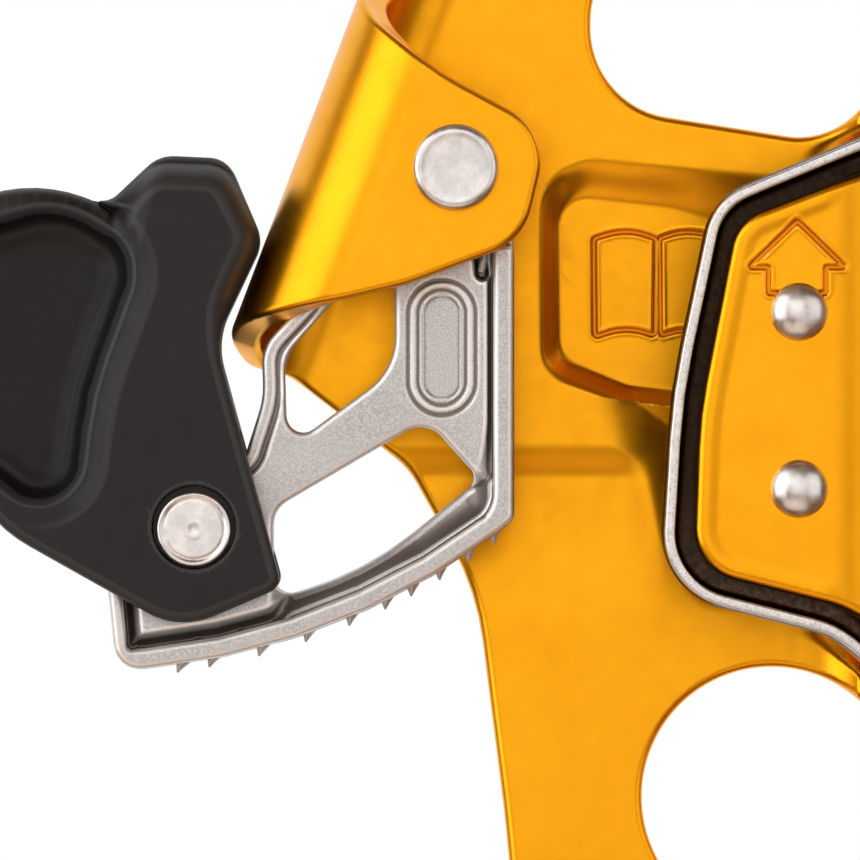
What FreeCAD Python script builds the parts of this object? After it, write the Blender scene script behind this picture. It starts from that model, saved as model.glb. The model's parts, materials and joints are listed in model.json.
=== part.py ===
import FreeCAD, Part
import math
import os

# Chest ascender for rope: a folded aluminium frame, a steel channel liner, a toothed cam and
# the trigger that locks it open. The origin is the centre of the lower attachment eye, on the
# front face of the back plate. +Z points up the rope, +X towards the rope channel, -Y forwards.

DIMENSIONS = {
    # folded sheet frame
    "sheet_thickness": 3.0,
    "hood_radius": 6.0,
    "hood_tilt": 20.8,
    "hood_foot_x": -41.52,
    "hood_foot_z": 43.28,
    "channel_radius": 7.75,
    "channel_x": 5.0,
    "wall_edge": -9.7,
    "eye_radius": 12.26,
    "emboss_depth": 1.8,
    # channel liner and its rivets
    "liner_thickness": 1.0,
    "lip_front": -18.9,
    "liner_rivet_x": 1.9,
    "upper_rivet_z": 45.57,
    "lower_rivet_z": 29.17,
    "liner_rivet_shank": 1.5,
    "liner_rivet_head": 2.7,
    "liner_rivet_dome": 1.5,
    # cam axle, its washers and the cam's bush
    "axle_x": -29.89,
    "axle_z": 59.03,
    "axle_radius": 2.5,
    "axle_head_radius": 4.0,
    "axle_head_height": 1.4,
    "axle_washer_radius": 4.5,
    "axle_washer_height": 0.9,
    "axle_tail_radius": 3.4,
    "axle_tail_height": 1.0,
    "thrust_radius": 5.4,
    "bush_radius": 3.5,
    "running_gap": 0.05,
    # cam: a flat web inside a wide toothed rim
    "cam_side": -24.48,
    "face_x": -64.74,
    "face_z": 76.27,
    "face_radius": 64.18,
    "rim_width": 1.8,
    "rim_front": -11.6,
    "rim_back": -1.0,
    "web_front": -9.0,
    "web_back": -4.5,
    "hub_front": -11.2,
    "hub_back": -0.8,
    "hub_radius": 5.4,
    "tooth_radius": 0.72,
    "tooth_height": 1.6,
    # trigger and its rivet
    "pin_x": -54.25,
    "pin_z": 25.38,
    "pin_radius": 2.0,
    "pin_head_radius": 3.46,
    "pin_bush_radius": 2.9,
    "pin_washer_radius": 3.5,
    "trigger_front": -13.6,
    "trigger_back": -1.0,
    "slot_front": -11.3,
    "slot_back": -4.2,
    "slot_radius": 10.0,
    "toe_room_front": -11.9,
    "toe_room_inner": 8.4,
    "toe_room_outer": 14.4,
    "counterbore_radius": 3.85,
    "counterbore_depth": 1.0,
    "thumb_depth": 2.6,
    # torsion springs
    "cam_coil_radius": 6.15,
    "cam_wire": 0.45,
    "trigger_coil_radius": 3.6,
    "trigger_wire": 0.35,
}

doc = FreeCAD.newDocument("ascender")
cells = doc.addObject("Spreadsheet::Sheet", "dims")
for row, (alias, number) in enumerate(DIMENSIONS.items(), start=1):
    cells.set(f"A{row}", alias)
    cells.set(f"B{row}", str(number))
    cells.setAlias(f"B{row}", alias)
doc.recompute()

# Depths that follow from the sheet, as expressions.
FLANGE_IN = "-2 * dims.channel_radius"
FLANGE_OUT = "-2 * dims.channel_radius - dims.sheet_thickness"
LUG_IN = "-2 * dims.hood_radius"
LUG_OUT = "-2 * dims.hood_radius - dims.sheet_thickness"
BEHIND, AHEAD = "20", "-30"
BELOW, ABOVE = -40, 110
FOOT, CROWN = -21.8, 92.5


def size(alias):
    """The number held in a cell of the sheet."""
    return float(cells.get(alias))


# ---------------------------------------------------------------- outlines


def rounded(corners):
    """Lines and tangent arcs of a closed outline, from its corners (across, up, radius)."""
    starts, middles, ends = [], [], []
    for index, (across, up, radius) in enumerate(corners):
        corner = FreeCAD.Vector(across, up, 0)
        following = corners[(index + 1) % len(corners)]
        before = FreeCAD.Vector(*corners[index - 1][:2], 0) - corner
        after = FreeCAD.Vector(*following[:2], 0) - corner
        half = before.getAngle(after) / 2
        inward = (before.normalize() + after.normalize()).normalize()
        run = radius / math.tan(half)
        starts.append(corner + before * run)
        middles.append(corner + inward * (radius / math.sin(half) - radius))
        ends.append(corner + after * run)
    edges = []
    for index, corner in enumerate(corners):
        if corner[2] > 0:
            edges.append(Part.Arc(starts[index], middles[index], ends[index]))
        following = starts[(index + 1) % len(corners)]
        if (following - ends[index]).Length > 1e-6:
            edges.append(Part.LineSegment(ends[index], following))
    return edges


def inset(corners, wall):
    """The corners of an outline moved inwards by a wall; a negative wall moves them outwards."""
    count = len(corners)
    area = sum(
        corners[index - 1][0] * corners[index][1] - corners[index][0] * corners[index - 1][1]
        for index in range(count)
    )
    side = 1 if area > 0 else -1
    moved = []
    for index, (across, up, radius) in enumerate(corners):
        before = corners[index - 1]
        after = corners[(index + 1) % count]
        arrive = FreeCAD.Vector(across - before[0], up - before[1], 0).normalize()
        leave = FreeCAD.Vector(after[0] - across, after[1] - up, 0).normalize()
        first = FreeCAD.Vector(-arrive.y, arrive.x, 0) * side
        second = FreeCAD.Vector(-leave.y, leave.x, 0) * side
        middle = (first + second).normalize()
        reach = wall / middle.dot(first)
        convex = arrive.cross(leave).z * side > 0
        kept = radius - wall if convex else radius + wall
        new_radius = max(kept, 0.5) if radius else 0
        moved.append((across + middle.x * reach, up + middle.y * reach, new_radius))
    return moved


def face_corner(radius):
    """The corner whose rounding gives the cam's working face, or a curve parallel to it."""
    middle = math.radians((FACE_START + FACE_END) / 2)
    reach = radius / math.cos(math.radians(FACE_END - FACE_START) / 2)
    across = size("face_x") + reach * math.cos(middle)
    return (across, size("face_z") + reach * math.sin(middle), radius)


def face_tangent(radius, angle, across):
    """Height, at a place across, of the line that touches the face's curve at an angle."""
    turn = math.radians(angle)
    touch_x = size("face_x") + radius * math.cos(turn)
    touch_z = size("face_z") + radius * math.sin(turn)
    return touch_z - (across - touch_x) / math.tan(turn)


def fold_point(across, along):
    """A point given across and along the hood's fold line, as X and Z."""
    tilt = math.radians(size("hood_tilt"))
    x = size("hood_foot_x") + across * math.cos(tilt) + along * math.sin(tilt)
    z = size("hood_foot_z") - across * math.sin(tilt) + along * math.cos(tilt)
    return x, z


# ---------------------------------------------------------------- building blocks


def padded(name, plane, outlines, offset, length):
    """A body with one sketch, offset from its own origin plane and padded by an expression."""
    body = doc.addObject("PartDesign::Body", name)
    sketch = body.newObject("Sketcher::SketchObject", f"{name}_outline")
    base = [item for item in body.Origin.OriginFeatures if item.Role == plane][0]
    sketch.AttachmentSupport = [(base, "")]
    sketch.MapMode = "FlatFace"
    for outline in outlines:
        sketch.addGeometry(outline, False)
    sketch.setExpression(".AttachmentOffset.Base.z", offset)
    pad = body.newObject("PartDesign::Pad", f"{name}_pad")
    pad.Profile = sketch
    pad.setExpression("Length", length)
    body.Tip = pad
    return body


def slab(name, outlines, back, front):
    """A body between two depths, both expressions, with its outlines seen from the front."""
    return padded(name, "XZ_Plane", outlines, f"-({back})", f"({back}) - ({front})")


def round_bar(name, across, up, radius, back, front):
    """A cylinder along Y between two depths; all its sizes are expressions."""
    bar = doc.addObject("Part::Cylinder", name)
    bar.Placement.Rotation = FreeCAD.Rotation(FreeCAD.Vector(1, 0, 0), 90)
    bar.setExpression("Radius", radius)
    bar.setExpression("Height", f"({back}) - ({front})")
    bar.setExpression(".Placement.Base.x", across)
    bar.setExpression(".Placement.Base.y", back)
    bar.setExpression(".Placement.Base.z", up)
    return bar


def fuse(name, *shapes):
    result = doc.addObject("Part::MultiFuse", name)
    result.Shapes = list(shapes)
    result.Refine = False
    return result


def common(name, *shapes):
    result = doc.addObject("Part::MultiCommon", name)
    result.Shapes = list(shapes)
    result.Refine = False
    return result


def cut(name, base, tool):
    result = doc.addObject("Part::Cut", name)
    result.Base = base
    result.Tool = tool
    result.Refine = False
    return result


def ring(name, across, up, outer, inner, back, front):
    """A washer or bush: one round bar bored by another."""
    outside = round_bar(f"{name}_outside", across, up, outer, back, front)
    bore = round_bar(f"{name}_bore", across, up, inner, f"{back} + 1", f"{front} - 1")
    return cut(name, outside, bore)


def eased(name, base, radius, depth, fillet):
    """The base with the round edge of one radius at one depth eased by a fillet."""
    doc.recompute()
    result = doc.addObject("Part::Fillet", name)
    result.Base = base
    chosen = []
    for number, edge in enumerate(base.Shape.Edges, start=1):
        is_round = edge.Curve.TypeId == "Part::GeomCircle"
        if is_round and abs(edge.Curve.Radius - radius) < 1e-3:
            if abs(edge.Curve.Center.y - depth) < 1e-3:
                chosen.append((number, fillet, fillet))
    result.Edges = chosen
    return result


def coil(name, across, up, radius, wire, back, turns):
    """A torsion spring's coil around an axis along Y: a round wire swept in quarter turns."""
    spine = doc.addObject("Part::Helix", f"{name}_spine")
    spine.setExpression("Radius", radius)
    spine.setExpression("Pitch", f"2.3 * {wire}")
    spine.setExpression("Height", f"{turns} * 2.3 * {wire}")
    spine.SegmentLength = 0.25
    doc.recompute()
    section = doc.addObject("Part::Circle", f"{name}_section")
    section.Placement.Rotation = FreeCAD.Rotation(FreeCAD.Vector(1, 0, 0), 90)
    section.setExpression("Radius", wire)
    section.setExpression(".Placement.Base.x", radius)
    sweep = doc.addObject("Part::Sweep", name)
    sweep.Sections = [section]
    sweep.Spine = (spine, [f"Edge{number + 1}" for number in range(len(spine.Shape.Edges))])
    sweep.Solid = True
    sweep.Frenet = True
    sweep.Placement.Rotation = FreeCAD.Rotation(FreeCAD.Vector(1, 0, 0), 90)
    sweep.setExpression(".Placement.Base.x", across)
    sweep.setExpression(".Placement.Base.y", back)
    sweep.setExpression(".Placement.Base.z", up)
    return sweep


# ---------------------------------------------------------------- frame

PLATE_CORNERS = [
    (*fold_point(0, -5.4), 0),
    (-34.3, 31.0, 8),
    (-27.9, 19.5, 25),
    (-25.3, -1.0, 60),
    (-23.2, FOOT, 15),
    (30, FOOT, 0),
    (30, CROWN, 0),
    (-21.5, CROWN, 13),
    (*fold_point(0, 36), 0),
]
HOOD_BACK_CORNERS = [
    (*fold_point(1.0, -5.75), 0),
    (-45.6, 39.8, 2),
    (-48.8, 40.6, 2),
    (-50.9, 43.2, 1),
    (*fold_point(-10, 4), 0),
    (*fold_point(-10, 31.0), 0),
    (*fold_point(-5.6, 34.2), 2),
    (*fold_point(1.0, 36.4), 0),
]
LUG_CORNERS = [
    (*fold_point(-10, 0.4), 0),
    (-47.4, 45.4, 3),
    (-34.4, 48.2, 20),
    (-23.6, 52.2, 6),
    (-21.2, 62.4, 5.5),
    (-31.4, 67.9, 20),
    (*fold_point(-6.93, 29.2), 3),
    (*fold_point(-10, 31.6), 0),
]
FLANGE_CORNERS = [
    (30, 75, 0),
    (17, 75, 0),
    (12.0, 60.4, 4),
    (-3.9, 54.0, 4.5),
    (-7.4, 36.0, 40),
    (-7.9, 21.7, 5),
    (5.6, 18.3, 6),
    (12.0, 14.4, 4),
    (17, 0, 0),
    (30, 0, 0),
]
UPPER_EYE_CORNERS = [
    (-17.1, 65.3, 8.5),
    (10.6, 60.9, 7.5),
    (9.6, 78.5, 9.0),
    (-3.4, 87.0, 11.0),
    (-17.1, 78.0, 9.0),
]
EMBOSS_CORNERS = [
    (-22.2, 57.6, 3.5),
    (2.5, 55.0, 2),
    (2.5, 36.0, 2),
    (-13.4, 36.6, 2.5),
    (-22.2, 40.9, 3.5),
]
EMBOSS_WALL = 1.9


def wall_corners(rise):
    """Side view (Y, Z) of the channel's outer wall; the rise shortens the raised part."""
    edge = size("wall_edge")
    return [
        (20, FOOT, 0),
        (20, CROWN, 0),
        (edge, CROWN, 9),
        (edge, 72.5 - rise, 6),
        (-24, 63.0 - rise, 0),
        (-24, 10.0 + rise, 0),
        (edge, 3.5 + rise, 6),
        (edge, FOOT, 9),
    ]


def bend(name, centre_x, inner, thickness, back_end, front_end, low, high):
    """A half-round fold along Z: a back leg in front of Y = thickness, the bend, a front leg."""
    bulge = 1 if back_end < centre_x else -1
    back_in = FreeCAD.Vector(centre_x, 0, 0)
    back_out = FreeCAD.Vector(centre_x, thickness, 0)
    crest_in = FreeCAD.Vector(centre_x + bulge * inner, -inner, 0)
    crest_out = FreeCAD.Vector(centre_x + bulge * (inner + thickness), -inner, 0)
    front_in = FreeCAD.Vector(centre_x, -2 * inner, 0)
    front_out = FreeCAD.Vector(centre_x, -2 * inner - thickness, 0)
    tail_in = FreeCAD.Vector(back_end, 0, 0)
    tail_out = FreeCAD.Vector(back_end, thickness, 0)
    nose_in = FreeCAD.Vector(front_end, -2 * inner, 0)
    nose_out = FreeCAD.Vector(front_end, -2 * inner - thickness, 0)
    section = [
        Part.LineSegment(tail_out, back_out),
        Part.Arc(back_out, crest_out, front_out),
        Part.LineSegment(front_out, nose_out),
        Part.LineSegment(nose_out, nose_in),
        Part.LineSegment(nose_in, front_in),
        Part.Arc(front_in, crest_in, back_in),
        Part.LineSegment(back_in, tail_in),
        Part.LineSegment(tail_in, tail_out),
    ]
    return padded(name, "XY_Plane", [section], str(low), str(high - low))


def rivet_cuts(prefix):
    """Holes for the two rivets that hold the liner in the flange."""
    return [
        round_bar(
            f"{prefix}_{level}_cut",
            "dims.liner_rivet_x",
            f"dims.{level}_rivet_z",
            "dims.liner_rivet_shank",
            "-12",
            AHEAD,
        )
        for level in ("upper", "lower")
    ]


def make_frame():
    """The folded sheet: hood and cam lug on the left, back plate, channel on the right."""
    thickness = size("sheet_thickness")
    channel_x = size("channel_x")
    sheet = bend(
        "sheet_bend", channel_x, size("channel_radius"), thickness, -60, -12, BELOW, ABOVE
    )
    back_trim = slab("back_trim", [rounded(PLATE_CORNERS)], BEHIND, "dims.wall_edge")
    flange_trim = slab("flange_trim", [rounded(FLANGE_CORNERS)], "dims.wall_edge", AHEAD)
    wall_trim = padded("wall_trim", "YZ_Plane", [rounded(wall_corners(3))], "-100", "200")
    sheet_part = common("sheet_part", sheet, fuse("sheet_trim", back_trim, flange_trim), wall_trim)

    hood = bend("hood_bend", 0, size("hood_radius"), thickness, 6, 24, -12, 44)
    hood.Placement.Rotation = FreeCAD.Rotation(FreeCAD.Vector(0, 1, 0), size("hood_tilt"))
    hood.setExpression(".Placement.Base.x", "dims.hood_foot_x")
    hood.setExpression(".Placement.Base.z", "dims.hood_foot_z")
    hood_back = slab("hood_back_trim", [rounded(HOOD_BACK_CORNERS)], BEHIND, "-dims.hood_radius")
    lug_trim = slab("lug_trim", [rounded(LUG_CORNERS)], "-dims.hood_radius", AHEAD)
    hood_part = common("hood_part", hood, fuse("hood_trim", hood_back, lug_trim))

    relief = slab(
        "emboss_relief",
        [rounded(EMBOSS_CORNERS)],
        "dims.sheet_thickness + dims.emboss_depth",
        "dims.sheet_thickness / 2",
    )
    floor_corners = inset(EMBOSS_CORNERS, EMBOSS_WALL)
    emboss_floor = slab("emboss_floor", [rounded(floor_corners)], "dims.emboss_depth", "-1")
    blank = fuse("frame_blank", sheet_part, hood_part, relief)

    # The eye's cutter is split where the bend starts, so its wall has a flat and a bent part.
    deep = "dims.sheet_thickness + 5"
    eye_bar = round_bar("lower_eye_bar", "0", "0", "dims.eye_radius", deep, "-12")
    flat_side = slab("eye_flat_side", [box_outline(-20, channel_x, -20, 20)], BEHIND, AHEAD)
    bent_side = slab("eye_bent_side", [box_outline(channel_x, 30, -20, 20)], BEHIND, AHEAD)
    eye = fuse(
        "lower_eye_cut",
        common("lower_eye_flat", eye_bar, flat_side),
        common("lower_eye_bent", eye_bar, bent_side),
    )
    upper_eye = slab("upper_eye_cut", [rounded(UPPER_EYE_CORNERS)], deep, "-12")
    axle_hole = round_bar(
        "axle_cut", "dims.axle_x", "dims.axle_z", "dims.axle_radius", deep, AHEAD
    )
    cuts = fuse("frame_cuts", emboss_floor, eye, upper_eye, axle_hole, *rivet_cuts("frame"))
    return cut("frame", blank, cuts)


def box_outline(left, right, low, high):
    """The four lines of a rectangle."""
    return rounded([(left, low, 0), (right, low, 0), (right, high, 0), (left, high, 0)])


# ---------------------------------------------------------------- channel liner and rivets

LINER_CORNERS = [
    (30, 77, 0),
    (17.5, 77, 0),
    (11.0, 63.0, 5),
    (-6.0, 55.95, 6.0),
    (-9.8, 38.0, 60),
    (-10.9, 19.75, 7.0),
    (4.9, 15.75, 8.0),
    (11.5, 10.4, 5),
    (17, -4, 0),
    (30, -4, 0),
]
LIP_END_X = 8.8
LINER_LEG_X = 3.0


def make_liner():
    """The thin steel channel inside the fold, whose front edge turns out into a lip."""
    thickness = size("liner_thickness")
    shell = bend(
        "liner_bend",
        size("channel_x"),
        size("channel_radius") - thickness,
        thickness,
        LINER_LEG_X,
        -14,
        BELOW,
        ABOVE,
    )
    shell.setExpression(".Placement.Base.y", "-dims.liner_thickness")
    front_trim = slab("liner_trim", [rounded(LINER_CORNERS)], BEHIND, AHEAD)
    wall_trim = padded("liner_wall_trim", "YZ_Plane", [rounded(wall_corners(0))], "-100", "200")
    tray = common("liner_tray", shell, front_trim, wall_trim)

    lip_back = f"{FLANGE_IN} + dims.liner_thickness"
    lip_outside = slab("lip_outside", [rounded(LINER_CORNERS)], lip_back, "dims.lip_front")
    lip_corners = inset(LINER_CORNERS, thickness)
    lip_inside = slab("lip_inside", [rounded(lip_corners)], BEHIND, AHEAD)
    band = cut("lip_band", lip_outside, lip_inside)
    reach = slab("lip_reach", [box_outline(-30, LIP_END_X, 0, 80)], BEHIND, AHEAD)
    lip = common("lip", band, reach)
    blank = fuse("liner_blank", tray, lip)
    return cut("channel_liner", blank, fuse("liner_cuts", *rivet_cuts("liner")))


def make_liner_rivet(level):
    """A rivet with a domed head on the flange and a flat formed head inside the liner."""
    name = f"liner_rivet_{level}"
    x, z = "dims.liner_rivet_x", f"dims.{level}_rivet_z"
    head, dome = "dims.liner_rivet_head", "dims.liner_rivet_dome"
    inside = f"{FLANGE_IN} + dims.liner_thickness"
    shank = round_bar(f"{name}_shank", x, z, "dims.liner_rivet_shank", inside, FLANGE_OUT)
    foot = round_bar(f"{name}_foot", x, z, "0.85 * dims.liner_rivet_head", f"{inside} + 0.4", inside)
    cap = round_bar(f"{name}_cap", x, z, head, FLANGE_OUT, f"{FLANGE_OUT} - {dome}")
    ball_radius = f"({head} * {head} + {dome} * {dome}) / (2 * {dome})"
    ball = doc.addObject("Part::Sphere", f"{name}_ball")
    ball.setExpression("Radius", ball_radius)
    ball.setExpression(".Placement.Base.x", x)
    ball.setExpression(".Placement.Base.y", f"{FLANGE_OUT} - {dome} + {ball_radius}")
    ball.setExpression(".Placement.Base.z", z)
    return fuse(name, shank, foot, common(f"{name}_head", cap, ball))


# ---------------------------------------------------------------- cam axle


def make_axle_parts():
    """The headed axle, the washer under its formed tail, and the washers beside the cam."""
    x, z = "dims.axle_x", "dims.axle_z"
    head_front = f"{LUG_OUT} - dims.axle_head_height"
    washer_back = "dims.sheet_thickness + dims.axle_washer_height"
    tail_back = f"{washer_back} + dims.axle_tail_height"
    head = round_bar("axle_head", x, z, "dims.axle_head_radius", LUG_OUT, head_front)
    shank = round_bar("axle_shank", x, z, "dims.axle_radius", washer_back, LUG_OUT)
    tail = round_bar("axle_tail", x, z, "dims.axle_tail_radius", tail_back, washer_back)
    rough = fuse("axle_rough", head, shank, tail)
    depth = -2 * size("hood_radius") - size("sheet_thickness") - size("axle_head_height")
    axle = eased("cam_axle", rough, size("axle_head_radius"), depth, 0.8)
    gap = "dims.running_gap"
    bore = f"dims.axle_radius + {gap}"
    washer = ring(
        "axle_washer",
        x,
        z,
        "dims.axle_washer_radius",
        "dims.axle_radius",
        washer_back,
        "dims.sheet_thickness",
    )
    front_washer = ring(
        "front_thrust_washer", x, z, "dims.thrust_radius", bore, f"dims.hub_front - {gap}", LUG_IN
    )
    rear_washer = ring(
        "rear_thrust_washer", x, z, "dims.thrust_radius", bore, "0", f"dims.hub_back + {gap}"
    )
    bush = ring("cam_bush", x, z, "dims.bush_radius", bore, "dims.hub_back", "dims.hub_front")
    return [axle, washer, front_washer, rear_washer, bush]


# ---------------------------------------------------------------- cam

FACE_START, FACE_END = -84.42, -52.87
CAM_LEFT = -61.5
STRIP_TOP = 51.8
LARGE_WINDOW_CORNERS = [
    (-46.9, 27.2, 2.5),
    (-32.6, 35.6, 2.6),
    (-27.6, 30.0, 1.2),
    (-38.5, 21.3, 30),
    (-46.9, 18.8, 1.6),
]
SMALL_WINDOW_CORNERS = [
    (-45.9, 41.5, 5),
    (-39.2, 49.0, 1.5),
    (-35.6, 50.5, 1.5),
    (-35.5, 40.3, 6),
    (-45.6, 32.9, 1.6),
]
TOOTH_STATIONS = 11
TOOTH_ROWS = 5
TOOTH_LEAN = 32
TOOTH_SINK = 0.5


def make_cam():
    """A cast cam: web with two windows, hub, wide rim and the rows of teeth on its face."""
    side = size("cam_side")
    radius = size("face_radius")
    heel = (side, face_tangent(radius, FACE_END, side), 1.2)
    toe = (CAM_LEFT, face_tangent(radius, FACE_START, CAM_LEFT), 2.4)
    web_corners = [
        (side, 53.0, 0),
        heel,
        face_corner(radius),
        toe,
        (-62.3, 19.8, 1.0),
        (-60.9, 31.7, 6.0),
        (-49.7, 31.7, 1.5),
        (-47.8, 37.6, 8.0),
        (-48.0, 42.3, 4.0),
        (-37.3, 53.8, 3.0),
        (-35.0, 58.0, 0),
        (-30.0, 61.0, 0),
        (-25.2, 58.8, 0),
    ]
    windows = [rounded(LARGE_WINDOW_CORNERS), rounded(SMALL_WINDOW_CORNERS)]
    web = slab("cam_web", [rounded(web_corners), *windows], "dims.web_back", "dims.web_front")

    width = size("rim_width")
    inner = radius - width
    strip = side - width
    rim_corners = [
        (side, STRIP_TOP, 0.6),
        heel,
        face_corner(radius),
        toe,
        (-62.3, 19.8, 0.5),
        (-61.1, 19.8, 0.5),
        (CAM_LEFT + 1.0, face_tangent(inner, FACE_START, CAM_LEFT + 1.0), 0.8),
        face_corner(inner),
        (strip, face_tangent(inner, FACE_END, strip), 1.5),
        (strip, STRIP_TOP, 0.6),
    ]
    rim = slab("cam_rim", [rounded(rim_corners)], "dims.rim_back", "dims.rim_front")
    hub = round_bar(
        "cam_hub", "dims.axle_x", "dims.axle_z", "dims.hub_radius", "dims.hub_back", "dims.hub_front"
    )
    blank = fuse("cam_blank", web, rim, hub, *make_teeth())
    hub_bore = round_bar(
        "cam_hub_bore", "dims.axle_x", "dims.axle_z", "dims.bush_radius", BEHIND, AHEAD
    )
    pin_bore = round_bar(
        "cam_pin_bore", "dims.pin_x", "dims.pin_z", "dims.pin_bush_radius", BEHIND, AHEAD
    )
    return cut("cam", blank, fuse("cam_bores", hub_bore, pin_bore))


def make_teeth():
    """Leaning cones in staggered rows on the working face."""
    front, back = size("rim_front") + 1.1, size("rim_back") - 1.1
    teeth = []
    for station in range(TOOTH_STATIONS):
        share = station / (TOOTH_STATIONS - 1)
        angle = FACE_START + 1.5 + share * (FACE_END - FACE_START - 3.2)
        rows = TOOTH_ROWS - station % 2
        turn = math.radians(angle)
        lean = math.radians(angle - TOOTH_LEAN)
        reach = size("face_radius") - TOOTH_SINK
        for line in range(rows):
            depth = front + (back - front) * (line + 0.5 * (station % 2)) / (TOOTH_ROWS - 1)
            tooth = doc.addObject("Part::Cone", f"tooth_{station}_{line}")
            tooth.setExpression("Radius1", "dims.tooth_radius")
            tooth.setExpression("Radius2", "0.14 * dims.tooth_radius")
            tooth.setExpression("Height", "dims.tooth_height")
            direction = FreeCAD.Vector(math.cos(lean), 0, math.sin(lean))
            tooth.Placement = FreeCAD.Placement(
                FreeCAD.Vector(
                    size("face_x") + reach * math.cos(turn),
                    depth,
                    size("face_z") + reach * math.sin(turn),
                ),
                FreeCAD.Rotation(FreeCAD.Vector(0, 0, 1), direction),
            )
            teeth.append(tooth)
    return teeth


# ---------------------------------------------------------------- trigger

TRIGGER_CORNERS = [
    (-79.2, 54.9, 8),
    (-67.3, 58.5, 14),
    (-62.6, 55.5, 2.0),
    (-57.6, 60.3, 3.5),
    (-51.2, 60.0, 2.6),
    (-47.9, 52.3, 3.4),
    (-52.3, 43.0, 7.0),
    (-46.0, 20.0, 1.5),
    (-55.6, 15.9, 7),
    (-72.5, 25.4, 14),
    (-79.2, 35.5, 8),
]
THUMB_CORNERS = [
    (-77.0, 53.4, 5),
    (-66.5, 56.2, 8),
    (-59.0, 51.0, 2.5),
    (-63.9, 38.0, 20),
    (-66.0, 23.8, 2.5),
    (-77.0, 33.5, 5),
]
TOE_END = 266
# The room for the cam's toe grows in steps: the angle where each starts, its share of the radius.
TOE_SWEEPS = {166: 0.72, 177: 0.82, 186: 1.0}


def pin_sector(name, share, start):
    """A sector around the trigger's pin, open at the back, from an angle to TOE_END."""
    sector = doc.addObject("Part::Cylinder", name)
    sector.Angle = TOE_END - start
    sector.setExpression("Radius", f"{share} * dims.toe_room_outer")
    sector.setExpression("Height", "dims.trigger_back + 1 - dims.toe_room_front")
    along_y = FreeCAD.Rotation(FreeCAD.Vector(1, 0, 0), 90)
    sector.Placement.Rotation = along_y * FreeCAD.Rotation(FreeCAD.Vector(0, 0, 1), start)
    sector.setExpression(".Placement.Base.x", "dims.pin_x")
    sector.setExpression(".Placement.Base.y", "dims.trigger_back + 1")
    sector.setExpression(".Placement.Base.z", "dims.pin_z")
    return sector


def make_trigger():
    """The moulded safety catch: two cheeks astride the cam's tab, and a dished thumb piece."""
    pin_x, pin_z = "dims.pin_x", "dims.pin_z"
    block = slab(
        "trigger_block", [rounded(TRIGGER_CORNERS)], "dims.trigger_back", "dims.trigger_front"
    )
    slot = round_bar(
        "trigger_slot", pin_x, pin_z, "dims.slot_radius", "dims.slot_back", "dims.slot_front"
    )
    sweeps = [
        pin_sector(f"toe_room_{start}", share, start) for start, share in TOE_SWEEPS.items()
    ]
    core = round_bar("toe_room_core", pin_x, pin_z, "dims.toe_room_inner", BEHIND, AHEAD)
    toe_room = cut("toe_room", fuse("toe_room_sweeps", *sweeps), core)

    front_dish = slab(
        "thumb_dish_front",
        [rounded(THUMB_CORNERS)],
        "dims.trigger_front + dims.thumb_depth",
        "dims.trigger_front - 1",
    )
    back_dish = slab(
        "thumb_dish_back",
        [rounded(THUMB_CORNERS)],
        "dims.trigger_back + 1",
        "dims.trigger_back - dims.thumb_depth",
    )
    bore = round_bar(
        "trigger_bore", pin_x, pin_z, "dims.pin_radius + dims.running_gap", BEHIND, AHEAD
    )
    counterbore = round_bar(
        "trigger_counterbore",
        pin_x,
        pin_z,
        "dims.counterbore_radius",
        "dims.trigger_front + dims.counterbore_depth",
        "dims.trigger_front - 1",
    )
    cuts = fuse("trigger_cuts", slot, toe_room, front_dish, back_dish, bore, counterbore)
    return cut("trigger", block, cuts)


def make_pin_parts():
    """The trigger's rivet, its bush in the cam's tab, and the washer under its rear head."""
    x, z = "dims.pin_x", "dims.pin_z"
    gap = "dims.running_gap"
    head_back = f"dims.trigger_front + dims.counterbore_depth - {gap}"
    head_front = "dims.trigger_front - 0.15"
    tail_front = f"dims.trigger_back + {gap}"
    washer_back = f"{tail_front} + 0.4"
    head = round_bar("pin_head", x, z, "dims.pin_head_radius", head_back, head_front)
    shank = round_bar("pin_shank", x, z, "dims.pin_radius", washer_back, head_back)
    tail = round_bar("pin_tail", x, z, "dims.pin_radius + 0.7", f"{washer_back} + 0.2", washer_back)
    rough = fuse("pin_rough", head, shank, tail)
    rivet = eased(
        "trigger_rivet", rough, size("pin_head_radius"), size("trigger_front") - 0.15, 0.3
    )
    bush = ring(
        "trigger_bush",
        x,
        z,
        "dims.pin_bush_radius",
        "dims.pin_radius",
        f"dims.slot_back - {gap}",
        f"dims.slot_front + {gap}",
    )
    washer = ring(
        "trigger_rivet_washer",
        x,
        z,
        "dims.pin_washer_radius",
        "dims.pin_radius",
        washer_back,
        tail_front,
    )
    return [rivet, bush, washer]


# ---------------------------------------------------------------- assembly


def make_springs():
    """The cam's closing spring around its hub and the trigger's return spring on its bush."""
    cam_spring = coil(
        "cam_spring",
        "dims.axle_x",
        "dims.axle_z",
        "dims.cam_coil_radius",
        "dims.cam_wire",
        "dims.web_front - 1.1 * dims.cam_wire",
        1.9,
    )
    trigger_spring = coil(
        "trigger_spring",
        "dims.pin_x",
        "dims.pin_z",
        "dims.trigger_coil_radius",
        "dims.trigger_wire",
        "dims.web_front - 1.15 * dims.trigger_wire",
        1.75,
    )
    return [cam_spring, trigger_spring]


parts = [
    make_frame(),
    make_liner(),
    make_liner_rivet("upper"),
    make_liner_rivet("lower"),
    *make_axle_parts(),
    make_cam(),
    make_trigger(),
    *make_pin_parts(),
    *make_springs(),
]
doc.recompute()

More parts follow.
